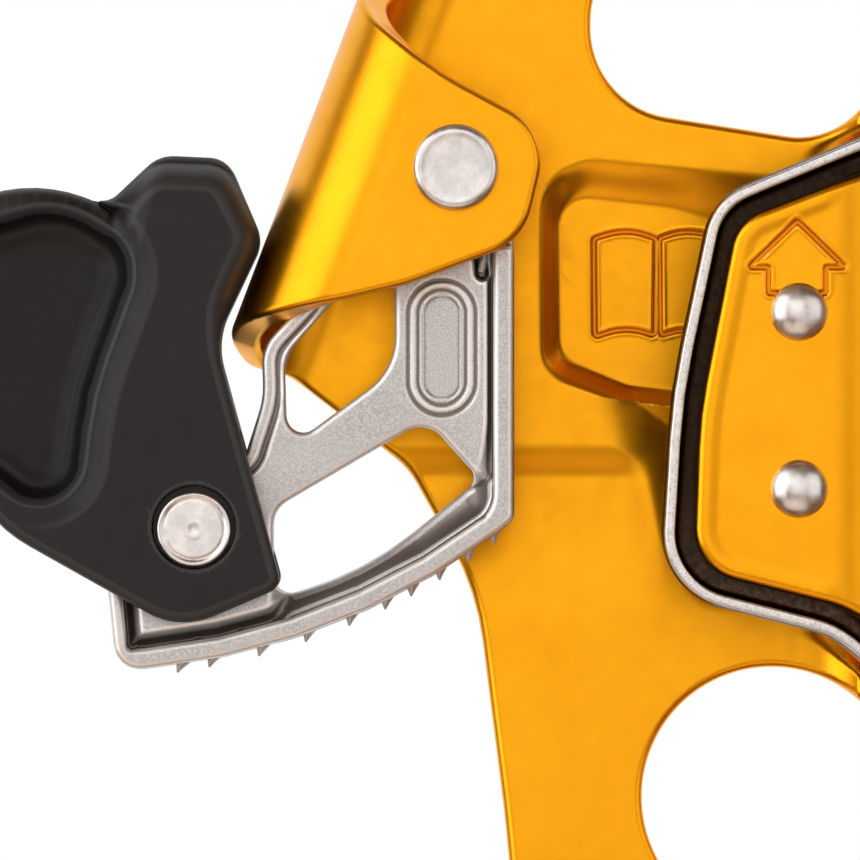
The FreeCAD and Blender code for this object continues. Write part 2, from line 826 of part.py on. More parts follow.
for item in doc.Objects:
    if "Invalid" in item.State or "Error" in item.State:
        raise RuntimeError(f"{item.Label} failed: {item.State}")
os.makedirs("parts", exist_ok=True)
for item in parts:
    if item.Shape.isNull() or not item.Shape.isValid():
        raise RuntimeError(f"{item.Label} has no valid shape")
    if len(item.Shape.Solids) != 1:
        raise RuntimeError(f"{item.Label} has {len(item.Shape.Solids)} solids")
for item in parts:
    item.Shape.exportStep(f"parts/{item.Label}.step")
    box = item.Shape.BoundBox
    print(
        f"{item.Label:22s} {item.Shape.Volume:9.1f} mm3"
        f"  x {box.XMin:6.1f}..{box.XMax:6.1f}"
        f"  y {box.YMin:6.1f}..{box.YMax:6.1f}"
        f"  z {box.ZMin:6.1f}..{box.ZMax:6.1f}"
    )
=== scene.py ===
import json
import math

import bmesh
import bpy
import numpy as np
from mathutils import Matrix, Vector


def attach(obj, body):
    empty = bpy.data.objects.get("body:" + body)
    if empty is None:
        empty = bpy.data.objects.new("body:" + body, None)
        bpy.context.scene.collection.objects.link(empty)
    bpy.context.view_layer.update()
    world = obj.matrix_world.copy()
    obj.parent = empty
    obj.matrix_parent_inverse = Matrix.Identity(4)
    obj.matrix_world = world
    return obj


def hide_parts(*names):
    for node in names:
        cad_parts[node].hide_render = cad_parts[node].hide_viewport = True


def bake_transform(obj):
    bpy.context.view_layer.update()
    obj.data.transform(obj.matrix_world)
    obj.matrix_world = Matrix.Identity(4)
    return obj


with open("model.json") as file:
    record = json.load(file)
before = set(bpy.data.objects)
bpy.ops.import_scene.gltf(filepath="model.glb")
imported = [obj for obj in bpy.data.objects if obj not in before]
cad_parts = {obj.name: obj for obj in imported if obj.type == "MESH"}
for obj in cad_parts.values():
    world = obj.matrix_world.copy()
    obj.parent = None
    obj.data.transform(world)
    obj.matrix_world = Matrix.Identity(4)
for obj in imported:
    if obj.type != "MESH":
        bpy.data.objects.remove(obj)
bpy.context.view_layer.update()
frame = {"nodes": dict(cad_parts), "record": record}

MM = 0.001
SLOTS = {part["node"]: part["material_slot"] for part in frame["record"]["subparts"]}
JOINTS = {joint["name"]: joint for joint in frame["record"]["behaviour"]["joints"]}


def pivot(name):
    """Where a joint's axis stands, as X and Z in mm."""
    across, _, up = JOINTS[name]["pos_m"]
    return across / MM, up / MM


# ---------------------------------------------------------------- shapes as distance fields, in mm


def rounded(corners, turn=math.radians(6)):
    """Points of a closed outline with rounded corners, from (across, up, radius)."""
    points = []
    for index, (across, up, radius) in enumerate(corners):
        here = np.array([across, up], float)
        before = np.array(corners[index - 1][:2], float) - here
        after = np.array(corners[(index + 1) % len(corners)][:2], float) - here
        before /= np.linalg.norm(before)
        after /= np.linalg.norm(after)
        half = math.acos(np.clip(before @ after, -1, 1)) / 2
        if radius <= 0 or math.pi / 2 - half < 1e-3:
            points.append(here)
            continue
        inward = (before + after) / np.linalg.norm(before + after)
        centre = here + inward * radius / math.sin(half)
        first = here + before * radius / math.tan(half) - centre
        last = here + after * radius / math.tan(half) - centre
        swing = math.pi - 2 * half
        steps = max(2, round(swing / turn))
        for step in range(steps + 1):
            share = step / steps
            low = math.sin((1 - share) * swing) / math.sin(swing)
            high = math.sin(share * swing) / math.sin(swing)
            points.append(centre + first * low + last * high)
    return np.array(points)


def polygon_distance(points, across, up):
    """Signed distance from places to a closed polygon, negative inside."""
    nearest = np.full(np.broadcast(across, up).shape, 1e9, np.float32)
    inside = np.zeros(nearest.shape, bool)
    for start, end in zip(points, np.roll(points, -1, axis=0)):
        run, rise = end - start
        length = run * run + rise * rise
        if length < 1e-12:
            continue
        share = np.clip(((across - start[0]) * run + (up - start[1]) * rise) / length, 0, 1)
        gap = (across - start[0] - share * run) ** 2 + (up - start[1] - share * rise) ** 2
        np.minimum(nearest, gap, out=nearest)
        if rise:
            crosses = (start[1] <= up) != (end[1] <= up)
            inside ^= crosses & (across < start[0] + (up - start[1]) * run / rise)
    return np.where(inside, -1, 1) * np.sqrt(nearest)


class Outline:
    """Signed distance to a closed outline, read from a table of its own."""

    PITCH = 0.2
    MARGIN = 5.0

    def __init__(self, corners):
        points = rounded(corners)
        self.low = points.min(0) - self.MARGIN
        size = points.max(0) + self.MARGIN - self.low
        count = np.ceil(size / self.PITCH).astype(int) + 1
        across = (self.low[0] + self.PITCH * np.arange(count[0]))[:, None]
        up = (self.low[1] + self.PITCH * np.arange(count[1]))[None, :]
        self.table = polygon_distance(points, across, up).astype(np.float32)

    def __call__(self, across, up):
        rows, columns = self.table.shape
        row = (across - self.low[0]) / self.PITCH
        column = (up - self.low[1]) / self.PITCH
        row_in = np.clip(row, 0, rows - 1.001)
        column_in = np.clip(column, 0, columns - 1.001)
        outside = np.hypot(row - row_in, column - column_in) * self.PITCH
        i, j = row_in.astype(int), column_in.astype(int)
        a, b = row_in - i, column_in - j
        near = self.table[i, j] * (1 - a) + self.table[i + 1, j] * a
        far = self.table[i, j + 1] * (1 - a) + self.table[i + 1, j + 1] * a
        return near * (1 - b) + far * b + outside


def both(first, second, radius=0.0):
    """Where two shapes overlap; the edge between their faces is rounded."""
    if np.ndim(radius) == 0 and radius == 0:
        return np.maximum(first, second)
    edge = np.hypot(np.maximum(first + radius, 0), np.maximum(second + radius, 0))
    return np.minimum(np.maximum(first, second), -radius) + edge


def either(first, second, radius=0.0):
    """Two shapes as one, with a fillet between their faces."""
    return -both(-first, -second, radius)


def without(shape, tool, radius=0.0):
    """A shape with a tool taken away; the new edge is rounded."""
    return both(shape, -tool, radius)


def slab(deep, back, front):
    """The space between two depths, front being the lower number."""
    return np.maximum(deep - back, front - deep)


def ease(value):
    """A smooth step from 0 to 1."""
    share = np.clip(value, 0, 1)
    return share * share * (3 - 2 * share)


def folded(across, deep, y, depth, middle, thick, side=1):
    """A sheet folded half round, and the length along its middle line, from the bend.

    The bend bulges towards higher across, and its axis lies at a depth. The length starts
    at the bend's front end, or at its back end where the side is -1.
    """
    beyond, flat = np.maximum(across, 0), np.minimum(across, 0)
    sheet = np.abs(np.hypot(beyond, deep - depth) - middle) - thick / 2
    angle = np.arctan2(beyond, side * (depth - y))
    return sheet, middle * angle + side * np.where(y < depth, flat, -flat)


# ---------------------------------------------------------------- fields to meshes


def gradient(field, points, reach=0.02):
    """Direction of steepest growth of a field at some points."""
    slope = np.empty_like(points)
    for axis in range(3):
        ahead, behind = points.copy(), points.copy()
        ahead[:, axis] += reach
        behind[:, axis] -= reach
        slope[:, axis] = (field(*ahead.T) - field(*behind.T)) / (2 * reach)
    return slope


def settle(field, points, limit, rounds=3):
    """Points moved onto the surface of a field."""
    for _ in range(rounds):
        slope = gradient(field, points)
        square = np.maximum((slope**2).sum(1), 0.05)
        move = np.clip(field(*points.T) / square, -limit, limit)
        points = points - slope * move[:, None]
    return points


# Steps in a block of the grid, and how many blocks are worked out at once.
BLOCK, BATCH = 4, 20_000
# Part of a step that the grid is shifted by, so that no flat face lies on its planes.
GRID_SHIFT = 0.37
CORNERS = [(i, j, k) for i in (0, 1) for j in (0, 1) for k in (0, 1)]
CELL_EDGES = [
    (a, b) for a in range(8) for b in range(a + 1, 8) if bin(a ^ b).count("1") == 1
]


def sample(field, low, high, step):
    """The field's values on a grid, worked out only near its surface."""
    low = np.array(low, float) - GRID_SHIFT * step
    counts = np.ceil((np.array(high, float) - low) / (step * BLOCK)).astype(int)
    places = [low[axis] + step * BLOCK * (np.arange(counts[axis]) + 0.5) for axis in range(3)]
    middle = np.stack(np.meshgrid(*places, indexing="ij"), -1).reshape(-1, 3)
    coarse = field(*middle.T).reshape(counts)
    near = np.abs(coarse) < step * BLOCK * 1.1
    grid = coarse.astype(np.float32)
    for axis in range(3):
        grid = np.repeat(grid, BLOCK, axis=axis)
    blocks = np.argwhere(near) * BLOCK
    offsets = np.stack(np.meshgrid(*[np.arange(BLOCK)] * 3, indexing="ij"), -1).reshape(-1, 3)
    for first in range(0, len(blocks), BATCH):
        cells = (blocks[first : first + BATCH, None] + offsets[None]).reshape(-1, 3)
        points = low + cells * step
        grid[tuple(cells.T)] = field(*points.T)
    return grid, low


def skin(field, low, high, step):
    """Points and four-sided faces of the surface where a field is zero."""
    grid, low = sample(field, low, high, step)
    inside = grid < 0
    shape = np.array(grid.shape) - 1
    total = np.zeros(shape, np.int8)
    for i, j, k in CORNERS:
        total += inside[i : i + shape[0], j : j + shape[1], k : k + shape[2]]
    cells = np.argwhere((total > 0) & (total < 8))
    numbers = np.full(shape, -1, np.int32)
    numbers[tuple(cells.T)] = np.arange(len(cells))
    values = [grid[tuple((cells + corner).T)] for corner in CORNERS]
    place = np.zeros((len(cells), 3))
    hits = np.zeros(len(cells))
    for a, b in CELL_EDGES:
        crossed = (values[a] < 0) != (values[b] < 0)
        span = np.where(crossed, values[a] - values[b], 1.0)
        share = np.where(crossed, values[a] / span, 0.0)[:, None]
        start, end = np.array(CORNERS[a]), np.array(CORNERS[b])
        place += (start + share * (end - start)) * crossed[:, None]
        hits += crossed
    points = low + (cells + place / hits[:, None]) * step
    faces = []
    for axis in range(3):
        first, second = [other for other in range(3) if other != axis]
        lower = [slice(1, -1)] * 3
        upper = [slice(1, -1)] * 3
        lower[axis], upper[axis] = slice(0, -1), slice(1, None)
        here, there = inside[tuple(lower)], inside[tuple(upper)]
        changed = np.argwhere(here != there)
        solid = here[tuple(changed.T)]
        base = changed + 1
        base[:, axis] -= 1
        around = []
        for back_first, back_second in ((0, 0), (1, 0), (1, 1), (0, 1)):
            cell = base.copy()
            cell[:, first] -= back_first
            cell[:, second] -= back_second
            around.append(numbers[tuple(cell.T)])
        quads = np.stack(around, 1)
        flip = solid if axis != 1 else ~solid
        quads[flip] = quads[flip][:, ::-1]
        faces.append(quads)
    quads = np.concatenate(faces)
    return settle(field, points, step), quads[:, ::-1]


def link(name, data):
    """A new object of the scene from its data."""
    made = bpy.data.objects.new(name, data)
    bpy.context.scene.collection.objects.link(made)
    return made


def smooth(mesh):
    """Has all faces of a mesh shaded smoothly."""
    mesh.polygons.foreach_set("use_smooth", np.ones(len(mesh.polygons), bool))


def mesh_piece(name, points, faces):
    """A mesh object from points in mm."""
    mesh = bpy.data.meshes.new(name)
    mesh.vertices.add(len(points))
    mesh.vertices.foreach_set("co", (np.asarray(points) * MM).astype(np.float32).ravel())
    faces = np.asarray(faces)
    sides = faces.shape[1]
    mesh.loops.add(faces.size)
    mesh.loops.foreach_set("vertex_index", faces.astype(np.int32).ravel())
    mesh.polygons.add(len(faces))
    mesh.polygons.foreach_set("loop_start", np.arange(0, faces.size, sides, dtype=np.int32))
    mesh.update(calc_edges=True)
    mesh.validate()
    smooth(mesh)
    return link(name, mesh)


def bands(rings, sides, first=0):
    """Four-sided faces between rings of points that follow each other."""
    faces = []
    for ring in range(rings - 1):
        here, there = first + ring * sides, first + (ring + 1) * sides
        for number in range(sides):
            after = (number + 1) % sides
            faces.append([here + number, here + after, there + after, there + number])
    return faces


# How near a stamped line the mesh is made finer, and how long its edges may be there, in mm.
MARK_REACH = 0.55
MARK_EDGE = 0.15


def sculpt(name, field, low, high, step, triangles=190_000, fine=None):
    """A piece from its field: meshed, thinned where it is flat, and shaded by its true normals."""
    points, faces = skin(field, low, high, step)
    piece = mesh_piece(name, points, faces)
    if len(faces) * 2 > triangles:
        thin = piece.modifiers.new("thin", "DECIMATE")
        thin.ratio = triangles / (2 * len(faces))
        bake_modifiers(piece)
    if fine:
        refine(piece, fine, MARK_REACH, MARK_EDGE)
    shade_by(piece, field, step)
    return piece


def refine(piece, nearness, reach, length):
    """Splits a piece's long edges, in mm, wherever a distance is within reach."""
    made = bmesh.new()
    made.from_mesh(piece.data)
    bmesh.ops.triangulate(made, faces=made.faces)
    for _ in range(9):
        ends = np.array([[*edge.verts[0].co, *edge.verts[1].co] for edge in made.edges]) / MM
        start, end = ends[:, :3], ends[:, 3:]
        span = np.linalg.norm(end - start, axis=1)
        share = (np.arange(7) / 6)[:, None, None]
        along = start[None] * (1 - share) + end[None] * share
        gaps = nearness(along[..., 0], along[..., 1], along[..., 2]).min(0)
        chosen = np.nonzero((gaps < reach) & (span > length))[0]
        if not len(chosen):
            break
        made.edges.ensure_lookup_table()
        bmesh.ops.subdivide_edges(made, edges=[made.edges[i] for i in chosen], cuts=1)
        bmesh.ops.triangulate(made, faces=[face for face in made.faces if len(face.verts) > 3])
    bmesh.ops.dissolve_degenerate(made, edges=made.edges, dist=0.01 * MM)
    made.to_mesh(piece.data)
    made.free()


def bake_modifiers(piece):
    """Replaces a piece's mesh by what its modifiers make of it."""
    view = bpy.context.evaluated_depsgraph_get()
    made = bpy.data.meshes.new_from_object(piece.evaluated_get(view))
    piece.modifiers.clear()
    piece.data = made


def weld(piece):
    """Joins the points of a piece that lie in one place."""
    made = piece.modifiers.new("weld", "WELD")
    made.merge_threshold = 1e-6
    bake_modifiers(piece)
    return piece


# How far around a point its surface's bend is looked at, in mm.
TURN_REACH = 0.3


def shade_by(piece, field, step):
    """Puts a piece's points on its field's surface; takes its normals and bends from the field."""
    mesh = piece.data
    points = np.empty(len(mesh.vertices) * 3, np.float32)
    mesh.vertices.foreach_get("co", points)
    points = settle(field, points.reshape(-1, 3).astype(float) / MM, step, 1)
    mesh.vertices.foreach_set("co", (points * MM).astype(np.float32).ravel())
    slope = gradient(field, points, 0.05)
    slope /= np.maximum(np.linalg.norm(slope, axis=1), 1e-6)[:, None]
    turn = -6 * field(*points.T)
    for axis in range(3):
        for reach in (-TURN_REACH, TURN_REACH):
            aside = points.copy()
            aside[:, axis] += reach
            turn += field(*aside.T)
    made = mesh.attributes.new("turn", "FLOAT", "POINT")
    made.data.foreach_set("value", (turn / TURN_REACH**2).astype(np.float32))
    smooth(mesh)
    mesh.normals_split_custom_set_from_vertices(slope.tolist())
    mesh.update()


# ---------------------------------------------------------------- frame

SHEET = 3.0
HOOD_FOOT = (-41.52, 43.28)
HOOD_TILT = math.radians(20.8)
HOOD_DEPTH = -6.0
HOOD_MIDDLE = 7.5
CHANNEL_X = 5.0
CHANNEL_DEPTH = -7.75
CHANNEL_MIDDLE = 9.25
BACK_END = math.pi * CHANNEL_MIDDLE
FOOT, CROWN = -21.8, 92.5


def fold_point(across, along):
    """A point given across and along the hood's fold line, as X and Z."""
    x = HOOD_FOOT[0] + across * math.cos(HOOD_TILT) + along * math.sin(HOOD_TILT)
    z = HOOD_FOOT[1] - across * math.sin(HOOD_TILT) + along * math.cos(HOOD_TILT)
    return x, z


def on_plate(across, up, radius):
    """A corner on the back plate, in the channel sheet's flat pattern."""
    return BACK_END + CHANNEL_X - across, up, radius


def on_flange(across, up, radius):
    """A corner on the flange, in the channel sheet's flat pattern."""
    return across - CHANNEL_X, up, radius


EDGE = 12.5
SHEET_PATTERN = Outline([
    on_flange(-3.9, 54.0, 4.5),
    on_flange(-7.4, 36.0, 40),
    on_flange(-7.9, 21.7, 5),
    on_flange(5.6, 18.3, 8),
    (8.6, 13.6, 5),
    (EDGE, 5.0, 5),
    (EDGE, FOOT, 9),
    on_plate(-23.2, FOOT, 15),
    on_plate(-25.3, -1.0, 60),
    on_plate(-27.9, 19.5, 25),
    on_plate(-34.3, 31.0, 8),
    on_plate(*fold_point(0, -5.4), 0),
    on_plate(*fold_point(0, 36), 0),
    on_plate(-21.5, CROWN, 13),
    (EDGE, CROWN, 9),
    (EDGE, 71.0, 5),
    (8.2, 60.6, 6),
])
HOOD_PATTERN = Outline([
    (-8.0, -7.92, 0),
    (2.6, -4.7, 5),
    (6.2, -5.2, 3),
    (10.6, -3.5, 5),
    (17.8, -0.1, 14),
    (28.5, 7.1, 20),
    (37.15, 14.7, 6),
    (35.8, 25.1, 5.5),
    (24.3, 26.6, 20),
    (17.0, 29.2, 8),
    (5.0, 34.2, 8),
    (0.0, 36.0, 2),
    (-1.0, 42.0, 0),
    (-8.0, 42.0, 0),
])
UPPER_EYE = Outline([
    (-17.1, 65.3, 8.5),
    (10.6, 60.9, 7.5),
    (9.6, 78.5, 9.0),
    (-3.4, 87.0, 11.0),
    (-17.1, 78.0, 9.0),
])
EYE_RADIUS = 12.26
LIP = Outline([
    (30, 77, 0),
    (17.5, 77, 0),
    (11.0, 63.0, 5),
    (-6.0, 55.95, 6.0),
    (-9.8, 38.0, 60),
    (-10.9, 19.75, 7.0),
    (4.9, 15.75, 8.0),
    (11.5, 10.4, 5),
    (17, -4, 0),
    (30, -4, 0),
])
EMBOSS = Outline([
    (-22.2, 58.4, 4.5),
    (-17.5, 60.5, 5),
    (3.5, 58.6, 2),
    (3.5, 34.0, 2),
    (-10.3, 35.6, 4.0),
    (-22.0, 39.6, 3.5),
])
EMBOSS_FLOOR = Outline([
    (-20.0, 56.6, 2.5),
    (-9.4, 55.4, 8),
    (1.0, 52.0, 2),
    (1.0, 38.0, 2),
    (-13.6, 39.0, 4),
    (-19.9, 41.7, 2.5),
])
EMBOSS_DEPTH = 1.8
# A shallow dip across the plate: its depth, and the levels where it starts and ends.
DIP_DEPTH, DIP_TOP, DIP_FOOT = 0.55, 33.5, 15.0
BED = Outline([
    (-15.5, 39.0, 2),
    (-12.9, 32.0, 5),
    (-9.4, 25.5, 5),
    (-6.0, 19.5, 2),
    (6.0, 19.5, 2),
    (6.0, 39.0, 2),
])
BED_DEPTH, BED_SLOPE = 1.35, 9.2


def pressed(x, z):
    """How far back the plate is pressed: its emboss, and the dip and bed under it."""
    inside = np.maximum(-EMBOSS(x, z), 0)
    to_floor = np.maximum(EMBOSS_FLOOR(x, z), 0)
    sink = EMBOSS_DEPTH * ease(inside / np.maximum(inside + to_floor, 0.05))
    shoulder = ease((DIP_TOP - z) / 3.6)
    dip = DIP_DEPTH * shoulder * ease((z - DIP_FOOT) / 13.0) * ease((-10.0 - x) / 5.0)
    bed = BED_DEPTH * ease((2.2 - BED(x, z)) / BED_SLOPE)
    sink = np.maximum(sink, np.hypot(dip, bed))
    return sink - 0.05 * (np.clip(x, 2, 8) - 2) ** 2 * ease(LIP(x, z) / 1.5)


BOOK_LEFT = Outline([
    (-16.8, 52.7, 0.3),
    (-13.6, 53.7, 6),
    (-10.9, 52.7, 0.3),
    (-11.0, 43.5, 0.3),
    (-13.6, 44.5, 6),
    (-16.7, 43.4, 0.3),
])
BOOK_RIGHT = Outline([
    (-10.6, 52.7, 0.3),
    (-8.0, 53.7, 6),
    (-4.9, 52.7, 0.3),
    (-5.0, 43.4, 0.3),
    (-8.0, 44.5, 6),
    (-10.5, 43.5, 0.3),
])
ARROW = Outline([
    (1.75, 54.0, 0.1),
    (6.2, 49.7, 0.1),
    (4.4, 49.7, 0.1),
    (4.4, 47.3, 0.1),
    (-0.9, 47.3, 0.1),
    (-0.9, 49.7, 0.1),
    (-2.7, 49.7, 0.1),
])
MARK_WIDTH, MARK_DEPTH = 0.3, 0.2
# The raised bead along the flange's rim, and how far the sheet's edges are rounded.
BEAD_HEIGHT, BEAD_WIDTH = 0.13, 2.3
SHEET_EDGE, HOOD_EDGE, EYE_EDGE = 0.85, 0.6, 0.7


def mark_lines(x, z):
    """Distance to the stamped lines: an open book on the plate, an arrow on the flange."""
    book = np.minimum(np.abs(BOOK_LEFT(x, z)), np.abs(BOOK_RIGHT(x, z)))
    return book, np.abs(ARROW(x, z))


def stamped(distance):
    """Depth of a stamped line, with a slightly raised border."""
    line = MARK_DEPTH * ease(1.6 - 1.6 * distance / MARK_WIDTH)
    return line - 0.03 * ease(1 - np.abs(distance - 0.45) / 0.25)


def frame_field(x, y, z):
    """The folded sheet: hood and lug, back plate with its emboss and eyes, channel."""
    book, arrow = mark_lines(x, z)
    sink = pressed(x, z) * ease((y - CHANNEL_DEPTH) / 4.0)
    on_front = ease((y + 3.0) / 2.0) * ease((1.9 + sink - y) / 0.8)
    sink = sink + stamped(book) * on_front
    on_flange_front = ease((-16.6 - y) / 1.0)
    inside = -SHEET_PATTERN(x - CHANNEL_X, z)
    rim = BEAD_HEIGHT * ease((BEAD_WIDTH - inside) / 1.2) * ease((6.0 - x) / 2.0)
    face = (stamped(arrow) - rim) * on_flange_front
    deep = y - np.where(y > CHANNEL_DEPTH, sink, face)
    sheet, along = folded(x - CHANNEL_X, deep, y, CHANNEL_DEPTH, CHANNEL_MIDDLE, SHEET)
    sheet = both(sheet, SHEET_PATTERN(along, z), SHEET_EDGE)

    run, rise = x - HOOD_FOOT[0], z - HOOD_FOOT[1]
    across = run * math.cos(HOOD_TILT) - rise * math.sin(HOOD_TILT)
    up = run * math.sin(HOOD_TILT) + rise * math.cos(HOOD_TILT)
    hood, along = folded(-across, y, y, HOOD_DEPTH, HOOD_MIDDLE, SHEET, -1)
    hood = both(hood, HOOD_PATTERN(along, up), HOOD_EDGE)

    body = np.minimum(sheet, hood)
    in_back = y < CHANNEL_DEPTH
    eye = np.where(in_back, 5.0, np.hypot(x, z) - EYE_RADIUS)
    body = without(body, eye, EYE_EDGE)
    upper = np.where(in_back, 5.0, UPPER_EYE(x, z))
    return without(body, upper, EYE_EDGE)


# ---------------------------------------------------------------- channel liner

LINER = 1.0
LINER_MIDDLE = 7.25
LINER_BACK = math.pi * LINER_MIDDLE
LINER_PATTERN = Outline([
    (-18, 5.5, 0),
    (LINER_BACK + 2.0, 5.5, 2),
    (LINER_BACK + 2.0, 66.5, 2),
    (-18, 66.5, 0),
])
LIP_FRONT, LIP_BACK = -18.9, -14.6
# Where the lip starts to run out into the bend, and where it ends.
LIP_FADE, LIP_END = 8.6, 9.5


def liner_field(x, y, z):
    """A thin channel inside the fold, its front edge turned out into a standing lip."""
    sheet, along = folded(x - CHANNEL_X, y, y, CHANNEL_DEPTH, LINER_MIDDLE, LINER)
    tray = both(sheet, LINER_PATTERN(along, z), 0.25)
    border = LIP(x, z)
    tray = both(tray, border, 0.25)
    fade = 1.2 * np.maximum(x - LIP_FADE, 0)
    wall = np.abs(border + LINER / 2) - LINER / 2
    band = both(wall, slab(y, LIP_BACK, LIP_FRONT + fade), 0.28)
    band = both(band, x - LIP_END, 0.3)
    return either(tray, band, 0.7)


# ---------------------------------------------------------------- cam

AXLE = pivot("cam_pivot")
PIN = pivot("trigger_pivot")
CAM_SIDE = -24.48
CAM_LEFT = -61.5
FACE = (-64.74, 76.27)
FACE_RADIUS = 64.18
FACE_START, FACE_END = math.radians(-84.42), math.radians(-52.87)
RIM_WIDTH = 1.9
RIM_FRONT, RIM_BACK = -11.6, -1.0
WEB_FRONT, WEB_BACK = -10.9, -4.5
HUB_FRONT, HUB_BACK = -11.2, -0.8
RIM_TOP = 51.8
HUB_RADIUS, AXLE_BORE, PIN_BORE = 5.4, 3.5, 2.9
# The spring's pocket: its radius about the axle, half its leg's width, and its depth.
COIL_ROOM, LEG_ROOM, POCKET_DEPTH = 7.3, 0.62, 2.0
# The hollow between the lower window and the rim: its width and its depth at the window.
HOLLOW_WIDTH, HOLLOW_DEPTH = 3.0, 2.1


def face_corner(radius):
    """The corner whose rounding gives the cam's working face, or a curve parallel to it."""
    middle = (FACE_START + FACE_END) / 2
    reach = radius / math.cos((FACE_END - FACE_START) / 2)
    return (FACE[0] + reach * math.cos(middle), FACE[1] + reach * math.sin(middle), radius)


def face_tangent(radius, angle, across):
    """Height, at a place across, of the line that touches the face's curve at an angle."""
    touch_x = FACE[0] + radius * math.cos(angle)
    touch_z = FACE[1] + radius * math.sin(angle)
    return touch_z - (across - touch_x) / math.tan(angle)


INNER_RADIUS = FACE_RADIUS - RIM_WIDTH
CAM_OUTLINE = Outline([
    (CAM_SIDE, 53.0, 0),
    (CAM_SIDE, face_tangent(FACE_RADIUS, FACE_END, CAM_SIDE), 1.2),
    face_corner(FACE_RADIUS),
    (CAM_LEFT, face_tangent(FACE_RADIUS, FACE_START, CAM_LEFT), 2.4),
    (-62.3, 19.8, 1.0),
    (-60.9, 31.7, 6.0),
    (-49.7, 31.7, 1.5),
    (-47.8, 37.6, 8.0),
    (-48.0, 42.3, 4.0),
    (-37.3, 53.8, 3.0),
    (-35.0, 58.0, 0),
    (-30.0, 61.0, 0),
    (-25.2, 58.8, 0),
])
INSIDE_RIM = Outline([
    (CAM_SIDE - RIM_WIDTH, 62.0, 0),
    (CAM_SIDE - RIM_WIDTH, face_tangent(INNER_RADIUS, FACE_END, CAM_SIDE - RIM_WIDTH), 3.0),
    face_corner(INNER_RADIUS),
    (CAM_LEFT + 1.0, face_tangent(INNER_RADIUS, FACE_START, CAM_LEFT + 1.0), 0.5),
    (CAM_LEFT + 0.4, 21.0, 0),
    (-75.0, 21.0, 0),
    (-75.0, 62.0, 0),
])
LARGE_WINDOW = Outline([
    (-46.9, 27.2, 2.5),
    (-32.6, 35.6, 2.6),
    (-27.6, 30.0, 1.2),
    (-38.5, 21.3, 30),
    (-46.9, 18.8, 1.6),
])
SMALL_WINDOW = Outline([
    (-45.9, 41.5, 5),
    (-39.2, 49.0, 1.5),
    (-35.6, 50.5, 1.5),
    (-35.5, 40.3, 6),
    (-45.6, 32.9, 1.6),
])
CARTOUCHE = Outline([
    (-34.6, 35.75, 3.4),
    (-27.7, 35.75, 3.4),
    (-27.7, 48.9, 3.4),
    (-34.6, 48.9, 3.4),
])


def groove(distance, width):
    """From 0 beside a line to 1 on it."""
    return ease(1 - np.abs(distance) / width)


def cam_field(x, y, z):
    """The casting: web with two windows, wide rim, hub and the spring's pocket."""
    outline = CAM_OUTLINE(x, z)
    inner = INSIDE_RIM(x, z)
    upper = ease((z - 26.0) / 10.0)
    in_pad = ease((-45.0 - x) / 2.5)
    width = 1.6 + 1.0 * (1 - in_pad) - 1.9 * upper * (1 - in_pad)
    beside = (2.2 - 1.3 * upper) * (1 - ease(-inner / width))
    depth = np.clip(1 + inner / HOLLOW_WIDTH, 0, 1)
    hollow = HOLLOW_DEPTH - 3.9 * (1 - np.sqrt(1 - 0.97 * depth ** 2))
    plateau = ease((z - 29.2) / 1.6)
    along_rim = (1 - in_pad) * (1 - plateau) * ease((5.2 + inner) / 0.8)
    sink = beside * np.maximum(in_pad, upper * plateau) + hollow * along_rim
    in_arm = ease((-42.0 - x) / 2.0) * ease((z - 26.0) / 3.0)
    sink = sink + 0.34 * in_arm * groove(outline + 1.5, 0.5)
    frame_line = CARTOUCHE(x, z)
    sink = sink + 0.13 * groove(frame_line + 0.3, 0.4) + 0.13 * groove(frame_line + 1.25, 0.4)
    sink = sink + 0.1 * ease((-frame_line - 1.4) / 0.4)
    to_axle = np.hypot(x - AXLE[0], z - AXLE[1])
    leg_across = np.clip(z - 49.3, 0, 8)
    to_leg = np.hypot(x + 27.4 + 0.1 * leg_across, z - 49.3 - leg_across)
    pocket = np.minimum(to_axle - COIL_ROOM, to_leg - LEG_ROOM)
    sink = np.maximum(sink, POCKET_DEPTH * ease(-pocket / 0.5 + 0.5))
    web = both(outline, np.maximum(y - WEB_BACK, WEB_FRONT + sink - y), 0.5)
    rim = both(outline, -inner, 0.35)
    rim = both(rim, slab(y, RIM_BACK, RIM_FRONT), 0.55)
    rim = both(rim, z - RIM_TOP, 0.5)
    body = either(web, rim, 0.35)
    hub = both(to_axle - HUB_RADIUS, slab(y, HUB_BACK, HUB_FRONT), 0.3)
    body = either(body, hub, 0.5)
    windows = np.minimum(LARGE_WINDOW(x, z), SMALL_WINDOW(x, z))
    body = without(body, windows, 0.55)
    bores = np.minimum(to_axle - AXLE_BORE, np.hypot(x - PIN[0], z - PIN[1]) - PIN_BORE)
    return without(body, bores, 0.2)


TOOTH_PLACES = (-55.9, -53.0, -48.4, -44.1, -40.1, -36.8, -34.4, -31.8, -29.1, -26.8)
TOOTH_ROWS = 5
TOOTH_LEAN = math.radians(32)
TOOTH_SIDES = 10
# A tooth's profile: distance along its axis and radius, in mm.
TOOTH_PROFILE = [(0, 0), (0, 0.78), (0.4, 0.62), (0.8, 0.38), (1.2, 0.19), (1.4, 0.11), (1.46, 0)]


